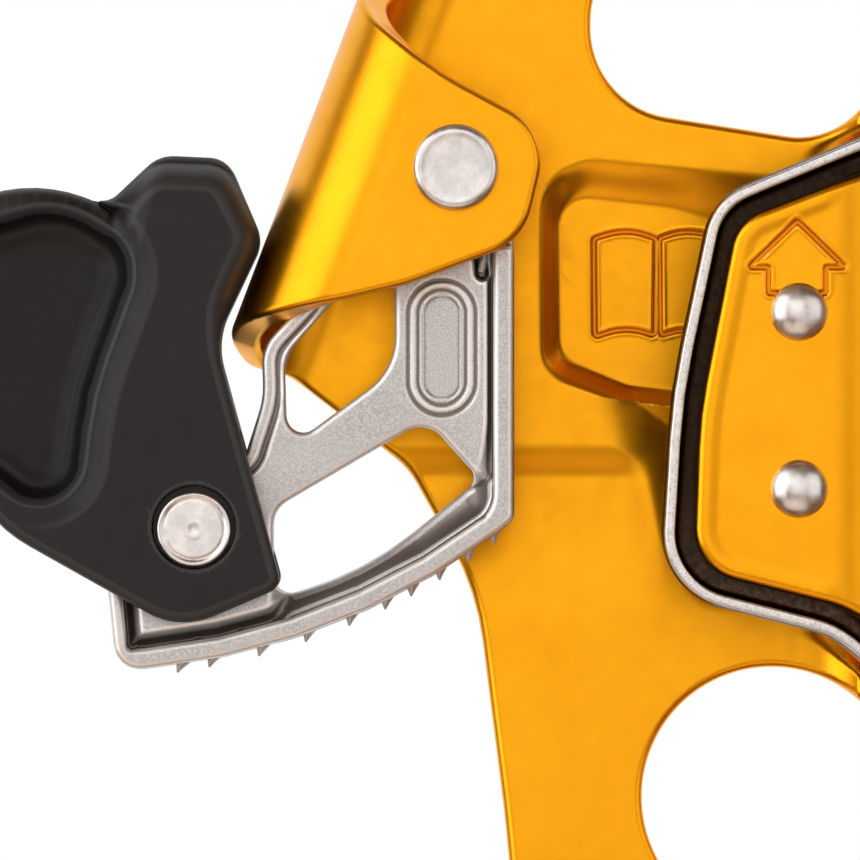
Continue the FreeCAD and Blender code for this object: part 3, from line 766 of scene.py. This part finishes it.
def tooth_rings():
    """Points and faces of every tooth: leaning spikes in staggered rows on the face."""
    points, faces = [], []
    front, back = RIM_FRONT + 1.1, RIM_BACK - 1.1
    for station, across in enumerate(TOOTH_PLACES):
        angle = -math.acos((across + 0.7 - FACE[0]) / FACE_RADIUS)
        lean = angle - TOOTH_LEAN
        reach = FACE_RADIUS - 0.5
        for line in range(TOOTH_ROWS - station % 2):
            depth = front + (back - front) * (line + 0.5 * (station % 2)) / (TOOTH_ROWS - 1)
            foot = np.array([
                FACE[0] + reach * math.cos(angle), depth, FACE[1] + reach * math.sin(angle)
            ])
            axis = np.array([math.cos(lean), 0, math.sin(lean)])
            side = np.array([-math.sin(lean), 0, math.cos(lean)])
            first = len(points)
            for along, radius in TOOTH_PROFILE:
                for turn in np.arange(TOOTH_SIDES) * 2 * math.pi / TOOTH_SIDES:
                    out = side * math.cos(turn) + np.array([0, 1, 0]) * math.sin(turn)
                    points.append(foot + axis * along + out * radius)
            faces += bands(len(TOOTH_PROFILE), TOOTH_SIDES, first)
    return np.array(points), np.array(faces)


def join(name, *pieces):
    """One object from several, keeping the normals of each."""
    with bpy.context.temp_override(active_object=pieces[0], selected_editable_objects=pieces):
        bpy.ops.object.join()
    pieces[0].name = name
    return pieces[0]


# ---------------------------------------------------------------- trigger

TRIGGER_OUTLINE = Outline([
    (-79.2, 54.9, 8),
    (-67.3, 58.5, 14),
    (-62.6, 55.5, 2.0),
    (-57.6, 60.3, 3.5),
    (-51.2, 60.0, 2.6),
    (-47.9, 52.3, 3.4),
    (-52.3, 43.0, 7.0),
    (-46.0, 20.0, 1.5),
    (-55.6, 15.9, 7),
    (-72.5, 25.4, 14),
    (-79.2, 35.5, 8),
])
THUMB = Outline([
    (-77.6, 53.0, 7),
    (-66.7, 56.2, 8),
    (-58.7, 51.3, 5.2),
    (-63.6, 38.0, 30),
    (-65.3, 24.1, 4.4),
    (-77.6, 33.0, 7),
])
NOSE_FLAT = Outline([
    (-63.9, 49.0, 0),
    (-57.9, 57.0, 2.5),
    (-52.6, 56.8, 1.2),
    (-50.3, 52.5, 1.5),
    (-53.2, 46.0, 5.0),
    (-52.0, 39.0, 8.0),
    (-46.6, 19.0, 0),
    (-46.0, 8.0, 0),
    (-64.0, 8.0, 0),
])
TRIGGER_FRONT, TRIGGER_BACK = -13.6, -1.0
SLOT_FRONT, SLOT_BACK, SLOT_RADIUS = -11.3, -4.2, 10.0
# The dish: the soft crest round it, its steep wall, and the fillet at the wall's foot.
CREST_HEIGHT, CREST_WIDTH = 0.62, 2.3
WALL_DEPTH, WALL_WIDTH = 2.4, 2.0
FILLET_DEPTH, FILLET_WIDTH = 0.6, 2.1
COUNTERBORE_RADIUS, COUNTERBORE_DEPTH, RIVET_HOLE = 3.9, 1.0, 2.05
# Room for the cam's toe: the angle where it ends, its inner radius and its front, and the
# angle where each of its steps starts with that step's outer radius.
TOE_END, TOE_INSIDE, TOE_FRONT = 266, 8.4, -11.9
TOE_STEPS = {166: 10.4, 177: 11.8, 186: 14.4}


def trigger_field(x, y, z):
    """The moulded catch: nose with soft bevels, dished thumb piece, two cheeks and their slot."""
    outline = TRIGGER_OUTLINE(x, z)
    thumb = THUMB(x, z)
    on_nose = ease((z - 24.0) / 14.0) * ease((x + 62.6) / 5.0)
    top = ease((z - 40.0) / 10.0)
    chamfer = 0.30 * np.clip(NOSE_FLAT(x, z), 0, 3.2) ** 2 * on_nose
    chamfer = np.minimum(chamfer, 2.0)
    crest = CREST_HEIGHT * ease(1 - thumb / CREST_WIDTH) * (0.25 + 0.75 * ease((x + 73.0) / 9.0))
    wall = WALL_DEPTH * ease((0.2 - thumb) / WALL_WIDTH)
    wall = wall + FILLET_DEPTH * ease(-(thumb + 1.5) / FILLET_WIDTH)
    drop = 0.75 * ease((0.25 * (z - 50.0) - 59.6 - x) / 3.2) * ease((z - 44.0) / 7.0)
    front = TRIGGER_FRONT + chamfer + crest + wall + drop
    back = TRIGGER_BACK - crest - wall
    block = both(outline, front - y, 0.9 + 1.5 * top)
    block = both(block, y - back, 0.8)
    to_pin = np.hypot(x - PIN[0], z - PIN[1])
    slot = np.maximum(to_pin - SLOT_RADIUS, slab(y, SLOT_BACK, SLOT_FRONT))
    turn = np.degrees(np.arctan2(z - PIN[1], x - PIN[0])) % 360
    rooms = 5.0
    for start, reach in TOE_STEPS.items():
        sector = np.radians(np.maximum(start - turn, turn - TOE_END)) * to_pin
        rooms = np.minimum(rooms, np.maximum(sector, to_pin - reach))
    rooms = np.maximum(rooms, np.maximum(TOE_INSIDE - to_pin, TOE_FRONT - y))
    body = without(block, np.minimum(slot, rooms), 0.25)
    counterbore = np.hypot(x - PIN[0], z - PIN[1] - 0.2) - COUNTERBORE_RADIUS
    counterbore = np.maximum(counterbore, y - TRIGGER_FRONT - COUNTERBORE_DEPTH)
    body = without(body, counterbore, 0.15)
    return without(body, to_pin - RIVET_HOLE, 0.1)


# ---------------------------------------------------------------- turned pieces


def lathe(name, centre, profile, sides=96):
    """A closed turned piece about an axis along Y, from its profile (radius, depth)."""
    turns = np.arange(sides) * 2 * math.pi / sides
    rows = np.array(profile, float)
    around = np.stack([np.cos(turns), np.zeros(sides), np.sin(turns)], 1)
    points = rows[:, None, :1] * around[None]
    points[:, :, 1] = rows[:, 1, None]
    points = points.reshape(-1, 3) + np.array([centre[0], 0, centre[1]])
    return weld(mesh_piece(name, points, bands(len(rows), sides)))


def arc(centre_radius, centre_depth, radius, start, end, steps=8):
    """Profile points on a round edge; angles are in degrees, 0 outwards and 90 backwards."""
    points = []
    for step in range(steps + 1):
        angle = math.radians(start + (end - start) * step / steps)
        points.append(
            (centre_radius + radius * math.cos(angle), centre_depth + radius * math.sin(angle))
        )
    return points


def make_cam_axle():
    """Headed axle: a pressed head with a faint ring, a plain shank and a formed tail."""
    head = [(0, -16.22), (1.2, -16.26), (2.6, -16.33), (3.05, -16.36), (3.2, -16.4)]
    head += arc(3.3, -15.7, 0.7, -90, 0)
    head += arc(3.85, -15.15, 0.15, 0, 90, 3)
    shank = [(2.5, -15.0), (2.5, 3.9)]
    tail = arc(3.1, 4.2, 0.3, -90, 0, 4) + arc(2.9, 4.4, 0.5, 0, 90, 6) + [(0, 4.9)]
    return lathe("cam_axle_turned", AXLE, head + shank + tail)


def make_trigger_rivet():
    """The trigger's rivet: a flat head with turned rings and a small centre mark."""
    head = [(0, -13.58), (0.25, -13.58), (0.42, -13.63), (0.7, -13.67)]
    head += [(0.9, -13.65), (1.0, -13.64), (1.2, -13.64), (2.5, -13.64)]
    head += [(2.68, -13.64), (2.78, -13.59), (2.88, -13.59), (2.98, -13.66)]
    head += arc(3.2, -13.5, 0.26, -90, 0, 5) + [(3.46, -12.7), (3.4, -12.65)]
    shank = [(2.0, -12.65), (2.0, -0.55)]
    tail = [(2.6, -0.55)] + arc(2.5, -0.45, 0.15, 0, 90, 3) + [(0, -0.3)]
    return lathe("trigger_rivet_turned", PIN, head + shank + tail)


def make_liner_rivet(level, height):
    """A domed rivet head on the flange, with a flat formed head inside the liner."""
    foot = -18.5
    dome = [(2.7 * math.sin(t), foot + 0.15 - 1.55 * math.cos(t)) for t in np.linspace(0, 1.45, 16)]
    body = dome + [(2.7, foot + 0.02), (1.5, foot), (1.5, -14.5), (2.25, -14.5), (2.2, -14.15)]
    return lathe(f"liner_rivet_{level}_turned", (1.9, height), body + [(0, -14.1)])


def tube(name, route, radius, sides=12):
    """A round wire along a smooth route."""
    curve = bpy.data.curves.new(name, "CURVE")
    curve.dimensions = "3D"
    curve.bevel_depth = radius * MM
    curve.bevel_resolution = sides // 4
    curve.use_fill_caps = True
    line = curve.splines.new("NURBS")
    line.points.add(len(route) - 1)
    for point, place in zip(line.points, route):
        point.co = (*[value * MM for value in place], 1)
    line.order_u = 4
    line.use_endpoint_u = True
    made = link(name, curve)
    view = bpy.context.evaluated_depsgraph_get()
    mesh = bpy.data.meshes.new_from_object(made.evaluated_get(view))
    bpy.data.objects.remove(made)
    smooth(mesh)
    return link(name, mesh)


def coil_route(centre, radius, start, turns, back, front, per_turn=16):
    """Places along a coil about an axis along Y, from its back end to its front end."""
    steps = round(turns * per_turn)
    route = []
    for step in range(steps + 1):
        share = step / steps
        angle = math.radians(start) + share * turns * 2 * math.pi
        route.append((
            centre[0] + radius * math.cos(angle),
            back + share * (front - back),
            centre[1] + radius * math.sin(angle),
        ))
    return route


def make_cam_spring():
    """The cam's closing spring: a coil round the axle, with one leg lying in the cam's notch."""
    coil = coil_route(AXLE, 6.15, -62, 2.15, -9.5, -11.75)
    leg = [(-27.5, -9.55, 49.4), (-27.3, -9.55, 50.4), (-27.1, -9.5, 51.6), (-27.05, -9.5, 52.7)]
    return tube("cam_spring_coil", leg + coil, 0.45)


def make_trigger_spring():
    """The trigger's return spring around the bush."""
    coil = coil_route(PIN, 3.6, 100, 1.75, -9.45, -10.9)
    return tube("trigger_spring_coil", coil, 0.3)


# ---------------------------------------------------------------- pieces on their bodies


def place(piece, body, node):
    """A piece rides on a body and stands for a CAD node, which it hides."""
    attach(piece, body)
    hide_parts(node)


def near_marks(x, y, z):
    """Distance to the stamped lines from places on the faces that carry them."""
    book, arrow = mark_lines(x, z)
    book = np.where((y > -1.0) & (y < 2.6), book, 9.0)
    return np.minimum(book, np.where(y < -17.0, arrow, 9.0))


# ---------------------------------------------------------------- materials


def set_range(node, low, high, to_low=0.0, to_high=1.0):
    """Sets what a Map Range node takes and gives."""
    ends = {"From Min": low, "From Max": high, "To Min": to_low, "To Max": to_high}
    for socket, number in ends.items():
        node.inputs[socket].default_value = number


def colours(sockets):
    """The sockets of a Mix node that hold colours."""
    return [socket for socket in sockets if socket.type == "RGBA"]


class Finish:
    """A material of one shader, with short ways to drive its sockets from textures."""

    def __init__(self, name, **values):
        self.material = bpy.data.materials.new(name)
        self.material.use_nodes = True
        self.nodes = self.material.node_tree.nodes
        self.links = self.material.node_tree.links
        self.shader = self.nodes["Principled BSDF"]
        for socket, value in values.items():
            self.shader.inputs[socket.replace("_", " ")].default_value = value
        place = self.nodes.new("ShaderNodeTexCoord")
        self.place = place.outputs["Object"]

    def noise(self, size, detail=3.0, roughness=0.55, stretch=(1, 1, 1)):
        """A noise whose features are about one size, in mm; its output runs from 0 to 1."""
        mapping = self.nodes.new("ShaderNodeMapping")
        mapping.inputs["Scale"].default_value = stretch
        self.links.new(self.place, mapping.inputs["Vector"])
        made = self.nodes.new("ShaderNodeTexNoise")
        made.inputs["Scale"].default_value = 1 / (size * MM)
        made.inputs["Detail"].default_value = detail
        made.inputs["Roughness"].default_value = roughness
        self.links.new(mapping.outputs["Vector"], made.inputs["Vector"])
        return made.outputs["Fac"]

    def spread(self, value, low, high, to_low=0.0, to_high=1.0):
        """A value taken from one range to another, and kept in it."""
        made = self.nodes.new("ShaderNodeMapRange")
        set_range(made, low, high, to_low, to_high)
        self.links.new(value, made.inputs["Value"])
        return made.outputs["Result"]

    def height(self, axis):
        """One coordinate of the place, in metres."""
        made = self.nodes.new("ShaderNodeSeparateXYZ")
        self.links.new(self.place, made.inputs["Vector"])
        return made.outputs[axis]

    def turn(self):
        """How sharply a sculpted surface turns, per mm: below 0 in hollows, above 0 on edges."""
        made = self.nodes.new("ShaderNodeAttribute")
        made.attribute_name = "turn"
        return made.outputs["Fac"]

    def combine(self, kind, first, second):
        """Two values put together by a sum or product."""
        made = self.nodes.new("ShaderNodeMath")
        made.operation = kind
        self.links.new(first, made.inputs[0])
        self.links.new(second, made.inputs[1])
        return made.outputs["Value"]

    def blend(self, factor, first, second):
        """A colour that goes from the first to the second as the factor grows."""
        made = self.nodes.new("ShaderNodeMix")
        made.data_type = "RGBA"
        self.links.new(factor, made.inputs["Factor"])
        for socket, colour in zip(colours(made.inputs), (first, second)):
            if isinstance(colour, tuple):
                socket.default_value = (*colour, 1)
            else:
                self.links.new(colour, socket)
        return colours(made.outputs)[0]

    def drive(self, socket, output):
        """Connects an output to one of the shader's sockets."""
        self.links.new(output, self.shader.inputs[socket])

    def bump(self, height, strength, distance):
        """Relief from a value; the distance is in mm."""
        made = self.nodes.new("ShaderNodeBump")
        made.inputs["Strength"].default_value = strength
        made.inputs["Distance"].default_value = distance * MM
        self.links.new(height, made.inputs["Height"])
        self.drive("Normal", made.outputs["Normal"])


def anodised():
    """Gold anodised aluminium: satin, with painted shade deepening it to red-brown in the hollows,
    paler on worn edges.
    """
    made = Finish("anodised_sheet", Metallic=1.0, Coat_Weight=0.15, Coat_Roughness=0.25)
    cloud = made.spread(made.noise(9.0, 4.0), 0.35, 0.65)
    gold = made.blend(cloud, (0.955, 0.405, 0.003), (0.985, 0.435, 0.005))
    # Painted shade: hollows are turned a deep red-brown, standing in for the shade and gold-on-gold
    # reflections there.
    hollow = made.spread(made.turn(), -1.6, -0.5, 0.6, 0.0)
    gold = made.blend(hollow, gold, (0.56, 0.13, 0.004))
    edge_wear_and_highlight = made.spread(made.turn(), 1.6, 3.2, 0.0, 0.6)
    chips = made.spread(made.noise(0.9, 5.0), 0.55, 0.68)
    gold = made.blend(made.combine("MULTIPLY", edge_wear_and_highlight, chips), gold, (0.95, 0.62, 0.20))
    made.drive("Base Color", gold)
    made.drive("Roughness", made.spread(made.noise(2.2, 5.0, 0.6), 0.3, 0.7, 0.29, 0.36))
    made.bump(made.noise(0.16, 3.0), 0.08, 0.02)
    return made.material


def stainless():
    """The liner: bare steel, with painted shade making its lip's sides and the groove behind it
    nearly black; the cut front edge is bright.
    """
    made = Finish("stainless_sheet", Metallic=1.0)
    # Painted shade: between the cut front edge and the flange's depth, the steel is coloured dark
    # brown to nearly black.
    deep = made.height("Y")
    behind = made.spread(deep, -0.01862, -0.01840)
    before = made.spread(deep, -0.0146, -0.0138, 1.0, 0.0)
    blotch = made.noise(0.6, 5.0)
    black = made.combine("MULTIPLY", behind, before)
    steel = made.blend(made.spread(blotch, 0.35, 0.65), (0.70, 0.70, 0.69), (0.84, 0.84, 0.83))
    speck = made.spread(made.noise(0.22, 4.0, 0.7), 0.54, 0.66)
    centre = made.spread(deep, -0.01888, -0.01878, 1.0, 0.0)
    steel = made.blend(made.combine("MULTIPLY", speck, centre), steel, (0.38, 0.37, 0.36))
    # Painted shade colour: dark brown low down, nearly black higher up, with blotches.
    level = made.spread(made.height("Z"), 0.018, 0.030)
    painted_groove_shade = made.blend(level, (0.085, 0.055, 0.035), (0.020, 0.013, 0.009))
    painted_groove_shade = made.blend(made.spread(blotch, 0.35, 0.65), painted_groove_shade, (0.03, 0.02, 0.014))
    made.drive("Base Color", made.blend(black, steel, painted_groove_shade))
    made.drive("Roughness", made.spread(made.noise(0.5, 5.0), 0.3, 0.7, 0.26, 0.42))
    made.bump(made.noise(0.12, 3.0), 0.14, 0.02)
    return made.material


def cast_steel():
    """The cam: bead-blasted casting with a fine speckle, and painted shade darkening its hollows to
    brown.
    """
    made = Finish("cast_steel", Metallic=0.9)
    grain = made.noise(0.18, 3.0, 0.7)
    cloud = made.noise(5.0, 4.0)
    grey = made.blend(made.spread(cloud, 0.3, 0.7), (0.475, 0.48, 0.48), (0.55, 0.555, 0.555))
    grey = made.blend(made.spread(grain, 0.42, 0.60), grey, (0.70, 0.705, 0.705))
    # Painted shade: hollows are darkened to a deep brown, standing in for the shade that falls in
    # them.
    hollow = made.spread(made.turn(), -0.65, -0.12, 0.85, 0.0)
    grey = made.blend(hollow, grey, (0.16, 0.13, 0.11))
    edge_wear_and_highlight = made.spread(made.turn(), 0.7, 1.8)
    grey = made.blend(edge_wear_and_highlight, grey, (0.90, 0.90, 0.89))
    made.drive("Base Color", grey)
    made.drive("Roughness", made.spread(made.noise(0.9, 4.0), 0.3, 0.7, 0.40, 0.50))
    made.bump(grain, 0.35, 0.05)
    return made.material


def nylon():
    """The trigger: black moulded nylon, with a painted highlight lightening its convex edges and
    crest, and rougher on the dish's floor.
    """
    made = Finish("nylon", Specular_IOR_Level=0.36)
    grain = made.noise(0.22, 3.0, 0.6)
    cloud = made.spread(made.noise(6.0, 4.0), 0.3, 0.7)
    black = made.blend(cloud, (0.0040, 0.0040, 0.0043), (0.0066, 0.0066, 0.0070))
    # Painted highlight: convex edges and the dish's crest are coloured lighter, standing in for the
    # light they catch.
    edge_wear_and_highlight = made.spread(made.turn(), 0.16, 0.7)
    black = made.blend(edge_wear_and_highlight, black, (0.030, 0.030, 0.031))
    made.drive("Base Color", black)
    fine = made.spread(made.noise(1.4, 4.0), 0.3, 0.7, 0.38, 0.46)
    dish = made.spread(made.height("Y"), -0.01125, -0.0107, 0.0, 0.16)
    made.drive("Roughness", made.combine("ADD", fine, dish))
    made.bump(grain, 0.20, 0.03)
    return made.material


def bright_steel(name, low, high, roughness, blotches):
    """Rivets, washers and springs: turned steel with soft blotches and fine scratches."""
    made = Finish(name, Metallic=1.0)
    blotch = made.noise(blotches, 4.0)
    colour = made.blend(made.spread(blotch, 0.35, 0.65), low, high)
    scratch = made.spread(made.noise(0.2, 4.0, 0.6, (1, 1, 9)), 0.58, 0.74)
    colour = made.blend(made.combine("MULTIPLY", scratch, made.spread(blotch, 0.3, 0.7)), colour, low)
    made.drive("Base Color", colour)
    made.drive("Roughness", made.spread(blotch, 0.3, 0.7, roughness, roughness + 0.14))
    made.bump(made.noise(blotches * 0.7, 3.0), 0.12, 0.04)
    return made.material


def dress(finish, *objects):
    """Gives objects one material, in place of any they have."""
    for each in objects:
        each.data.materials.clear()
        each.data.materials.append(finish)


# ---------------------------------------------------------------- studio


def softbox(name, place, aim, width, tall, radiance):
    """A soft rectangular light of an even brightness, turned towards a point."""
    data = bpy.data.lights.new(name, "AREA")
    data.shape = "RECTANGLE"
    data.size, data.size_y = width, tall
    data.energy = radiance * math.pi * width * tall
    lamp = link(name, data)
    lamp.location = place
    lamp.rotation_euler = (Vector(aim) - Vector(place)).to_track_quat("-Z", "Y").to_euler()
    lamp.visible_camera = False
    return lamp


def around(bearing, rise, distance):
    """A place seen from the object at a bearing from the camera's side, left being negative."""
    turn, lift = math.radians(bearing), math.radians(rise)
    x = math.sin(turn) * math.cos(lift)
    y = -math.cos(turn) * math.cos(lift)
    return (MIDDLE[0] + distance * x, MIDDLE[1] + distance * y, MIDDLE[2] + distance * math.sin(lift))


MIDDLE = (-0.032, -0.008, 0.035)


def make_floor():
    """A pale round floor that turns white towards its edge, under the frame's foot."""
    steps = 96
    turns = np.arange(steps) * 2 * math.pi / steps
    radii = np.array([0.05, 0.1, 0.16, 0.24, 0.36, 0.6, 1.0, 1.7]) / MM
    rings = [np.stack([r * np.cos(turns), r * np.sin(turns), 0 * turns], 1) for r in radii]
    points = np.concatenate(rings) + np.array([MIDDLE[0] / MM, 0, FOOT - 0.1])
    floor = mesh_piece("floor", points, [face[::-1] for face in bands(len(radii), steps)])
    made = bmesh.new()
    made.from_mesh(floor.data)
    made.verts.ensure_lookup_table()
    made.faces.new([made.verts[number] for number in range(steps)])
    made.to_mesh(floor.data)
    made.free()
    paint = Finish("floor_paper", Roughness=0.9, Base_Color=(0.80, 0.80, 0.80, 1))
    away = paint.nodes.new("ShaderNodeVectorMath")
    away.operation = "LENGTH"
    paint.links.new(paint.place, away.inputs[0])
    white = paint.spread(away.outputs["Value"], 0.12, 0.34)
    glow = paint.nodes.new("ShaderNodeEmission")
    blend = paint.nodes.new("ShaderNodeMixShader")
    paint.links.new(white, blend.inputs["Fac"])
    paint.links.new(paint.shader.outputs["BSDF"], blend.inputs[1])
    paint.links.new(glow.outputs["Emission"], blend.inputs[2])
    paint.links.new(blend.outputs["Shader"], paint.nodes["Material Output"].inputs["Surface"])
    paint.bump(paint.noise(3.0, 3.0), 0.05, 0.1)
    dress(paint.material, floor)
    floor.visible_glossy = False


def make_world():
    """White to the camera; to the object, a dim warm room with a white wall behind it."""
    world = bpy.data.worlds.new("studio")
    bpy.context.scene.world = world
    world.use_nodes = True
    nodes, links = world.node_tree.nodes, world.node_tree.links
    place = nodes.new("ShaderNodeTexCoord")
    apart = nodes.new("ShaderNodeSeparateXYZ")
    links.new(place.outputs["Generated"], apart.inputs["Vector"])
    wall = nodes.new("ShaderNodeMapRange")
    wall.interpolation_type = "SMOOTHSTEP"
    set_range(wall, 0.1, 0.4)
    links.new(apart.outputs["Y"], wall.inputs["Value"])
    room = nodes["Background"]
    shade = nodes.new("ShaderNodeMix")
    shade.data_type = "RGBA"
    links.new(wall.outputs["Result"], shade.inputs["Factor"])
    dark, white = colours(shade.inputs)
    dark.default_value = (0.19, 0.10, 0.055, 1)
    white.default_value = (1, 1, 1, 1)
    links.new(colours(shade.outputs)[0], room.inputs["Color"])
    paper = nodes.new("ShaderNodeBackground")
    paper.inputs["Color"].default_value = (1, 1, 1, 1)
    path = nodes.new("ShaderNodeLightPath")
    blend = nodes.new("ShaderNodeMixShader")
    links.new(path.outputs["Is Camera Ray"], blend.inputs["Fac"])
    links.new(room.outputs["Background"], blend.inputs[1])
    links.new(paper.outputs["Background"], blend.inputs[2])
    links.new(blend.outputs["Shader"], nodes["World Output"].inputs["Surface"])


def make_lights():
    """A key box at the upper left, a front fill, boxes above and at the right, a warm card below."""
    softbox("key", around(-54, 14, 0.75), MIDDLE, 0.70, 0.90, 1.9)
    softbox("fill", around(-2, 4, 1.25), MIDDLE, 0.84, 0.72, 1.06)
    softbox("upper", around(-6, 25, 1.1), MIDDLE, 0.8, 0.22, 1.5)
    softbox("right", around(46, 10, 0.8), MIDDLE, 0.62, 0.80, 1.0)
    card = softbox("card", around(-10, -44, 0.7), MIDDLE, 0.8, 0.50, 0.8)
    card.data.color = (1.0, 0.84, 0.72)


def make_camera():
    """Straight on, from far enough away that the view is nearly parallel."""
    data = bpy.data.cameras.new("camera")
    data.sensor_width = 36
    data.lens = 443.7
    data.clip_start = 0.01
    eye = link("camera", data)
    eye.location = (-0.03226, -1.0, 0.03462)
    eye.rotation_euler = (math.pi / 2, 0, 0)
    bpy.context.scene.camera = eye


# ---------------------------------------------------------------- the object

sheet = sculpt("frame_sheet", frame_field, (-53, -19.5, -23), (17, 6, 94), 0.25, 160_000, near_marks)
liner = sculpt("liner_shell", liner_field, (-12, -20, 3), (15, 1, 73), 0.2)
cam_body = sculpt("cam_casting", cam_field, (-64, -13, 9), (-23, 0, 66), 0.2)
cam = join("cam_casting", cam_body, weld(mesh_piece("cam_teeth", *tooth_rings())))
trigger = sculpt("trigger_moulding", trigger_field, (-81, -15, 14), (-45, 0, 62), 0.2)
axle, trigger_rivet = make_cam_axle(), make_trigger_rivet()
liner_rivets = [make_liner_rivet("upper", 45.57), make_liner_rivet("lower", 29.17)]
cam_spring, trigger_spring = make_cam_spring(), make_trigger_spring()

place(sheet, "frame", "frame")
place(liner, "frame", "channel_liner")
place(cam, "cam", "cam")
place(trigger, "trigger", "trigger")
place(axle, "frame", "cam_axle")
place(liner_rivets[0], "frame", "liner_rivet_upper")
place(liner_rivets[1], "frame", "liner_rivet_lower")
place(trigger_rivet, "cam", "trigger_rivet")
place(trigger_spring, "trigger", "trigger_spring")
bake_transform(cam_spring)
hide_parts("cam_spring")

rivet_steel = bright_steel("rivet_steel", (0.62, 0.62, 0.61), (0.90, 0.90, 0.89), 0.26, 1.3)
spring_steel = bright_steel("spring_steel", (0.30, 0.30, 0.31), (0.48, 0.48, 0.48), 0.28, 0.8)
bronze = bright_steel("bronze", (0.52, 0.33, 0.13), (0.70, 0.49, 0.22), 0.30, 0.9)
dress(anodised(), sheet)
dress(stainless(), liner)
dress(cast_steel(), cam)
dress(nylon(), trigger)
dress(rivet_steel, axle, trigger_rivet, *liner_rivets)
dress(spring_steel, cam_spring, trigger_spring)
finishes = {"rivet_steel": rivet_steel, "spring_steel": spring_steel, "bronze": bronze}
for node, slot in SLOTS.items():
    if slot in finishes:
        dress(finishes[slot], frame["nodes"][node])

make_floor()
make_world()
make_lights()
make_camera()
bpy.context.scene.view_settings.view_transform = "Standard"
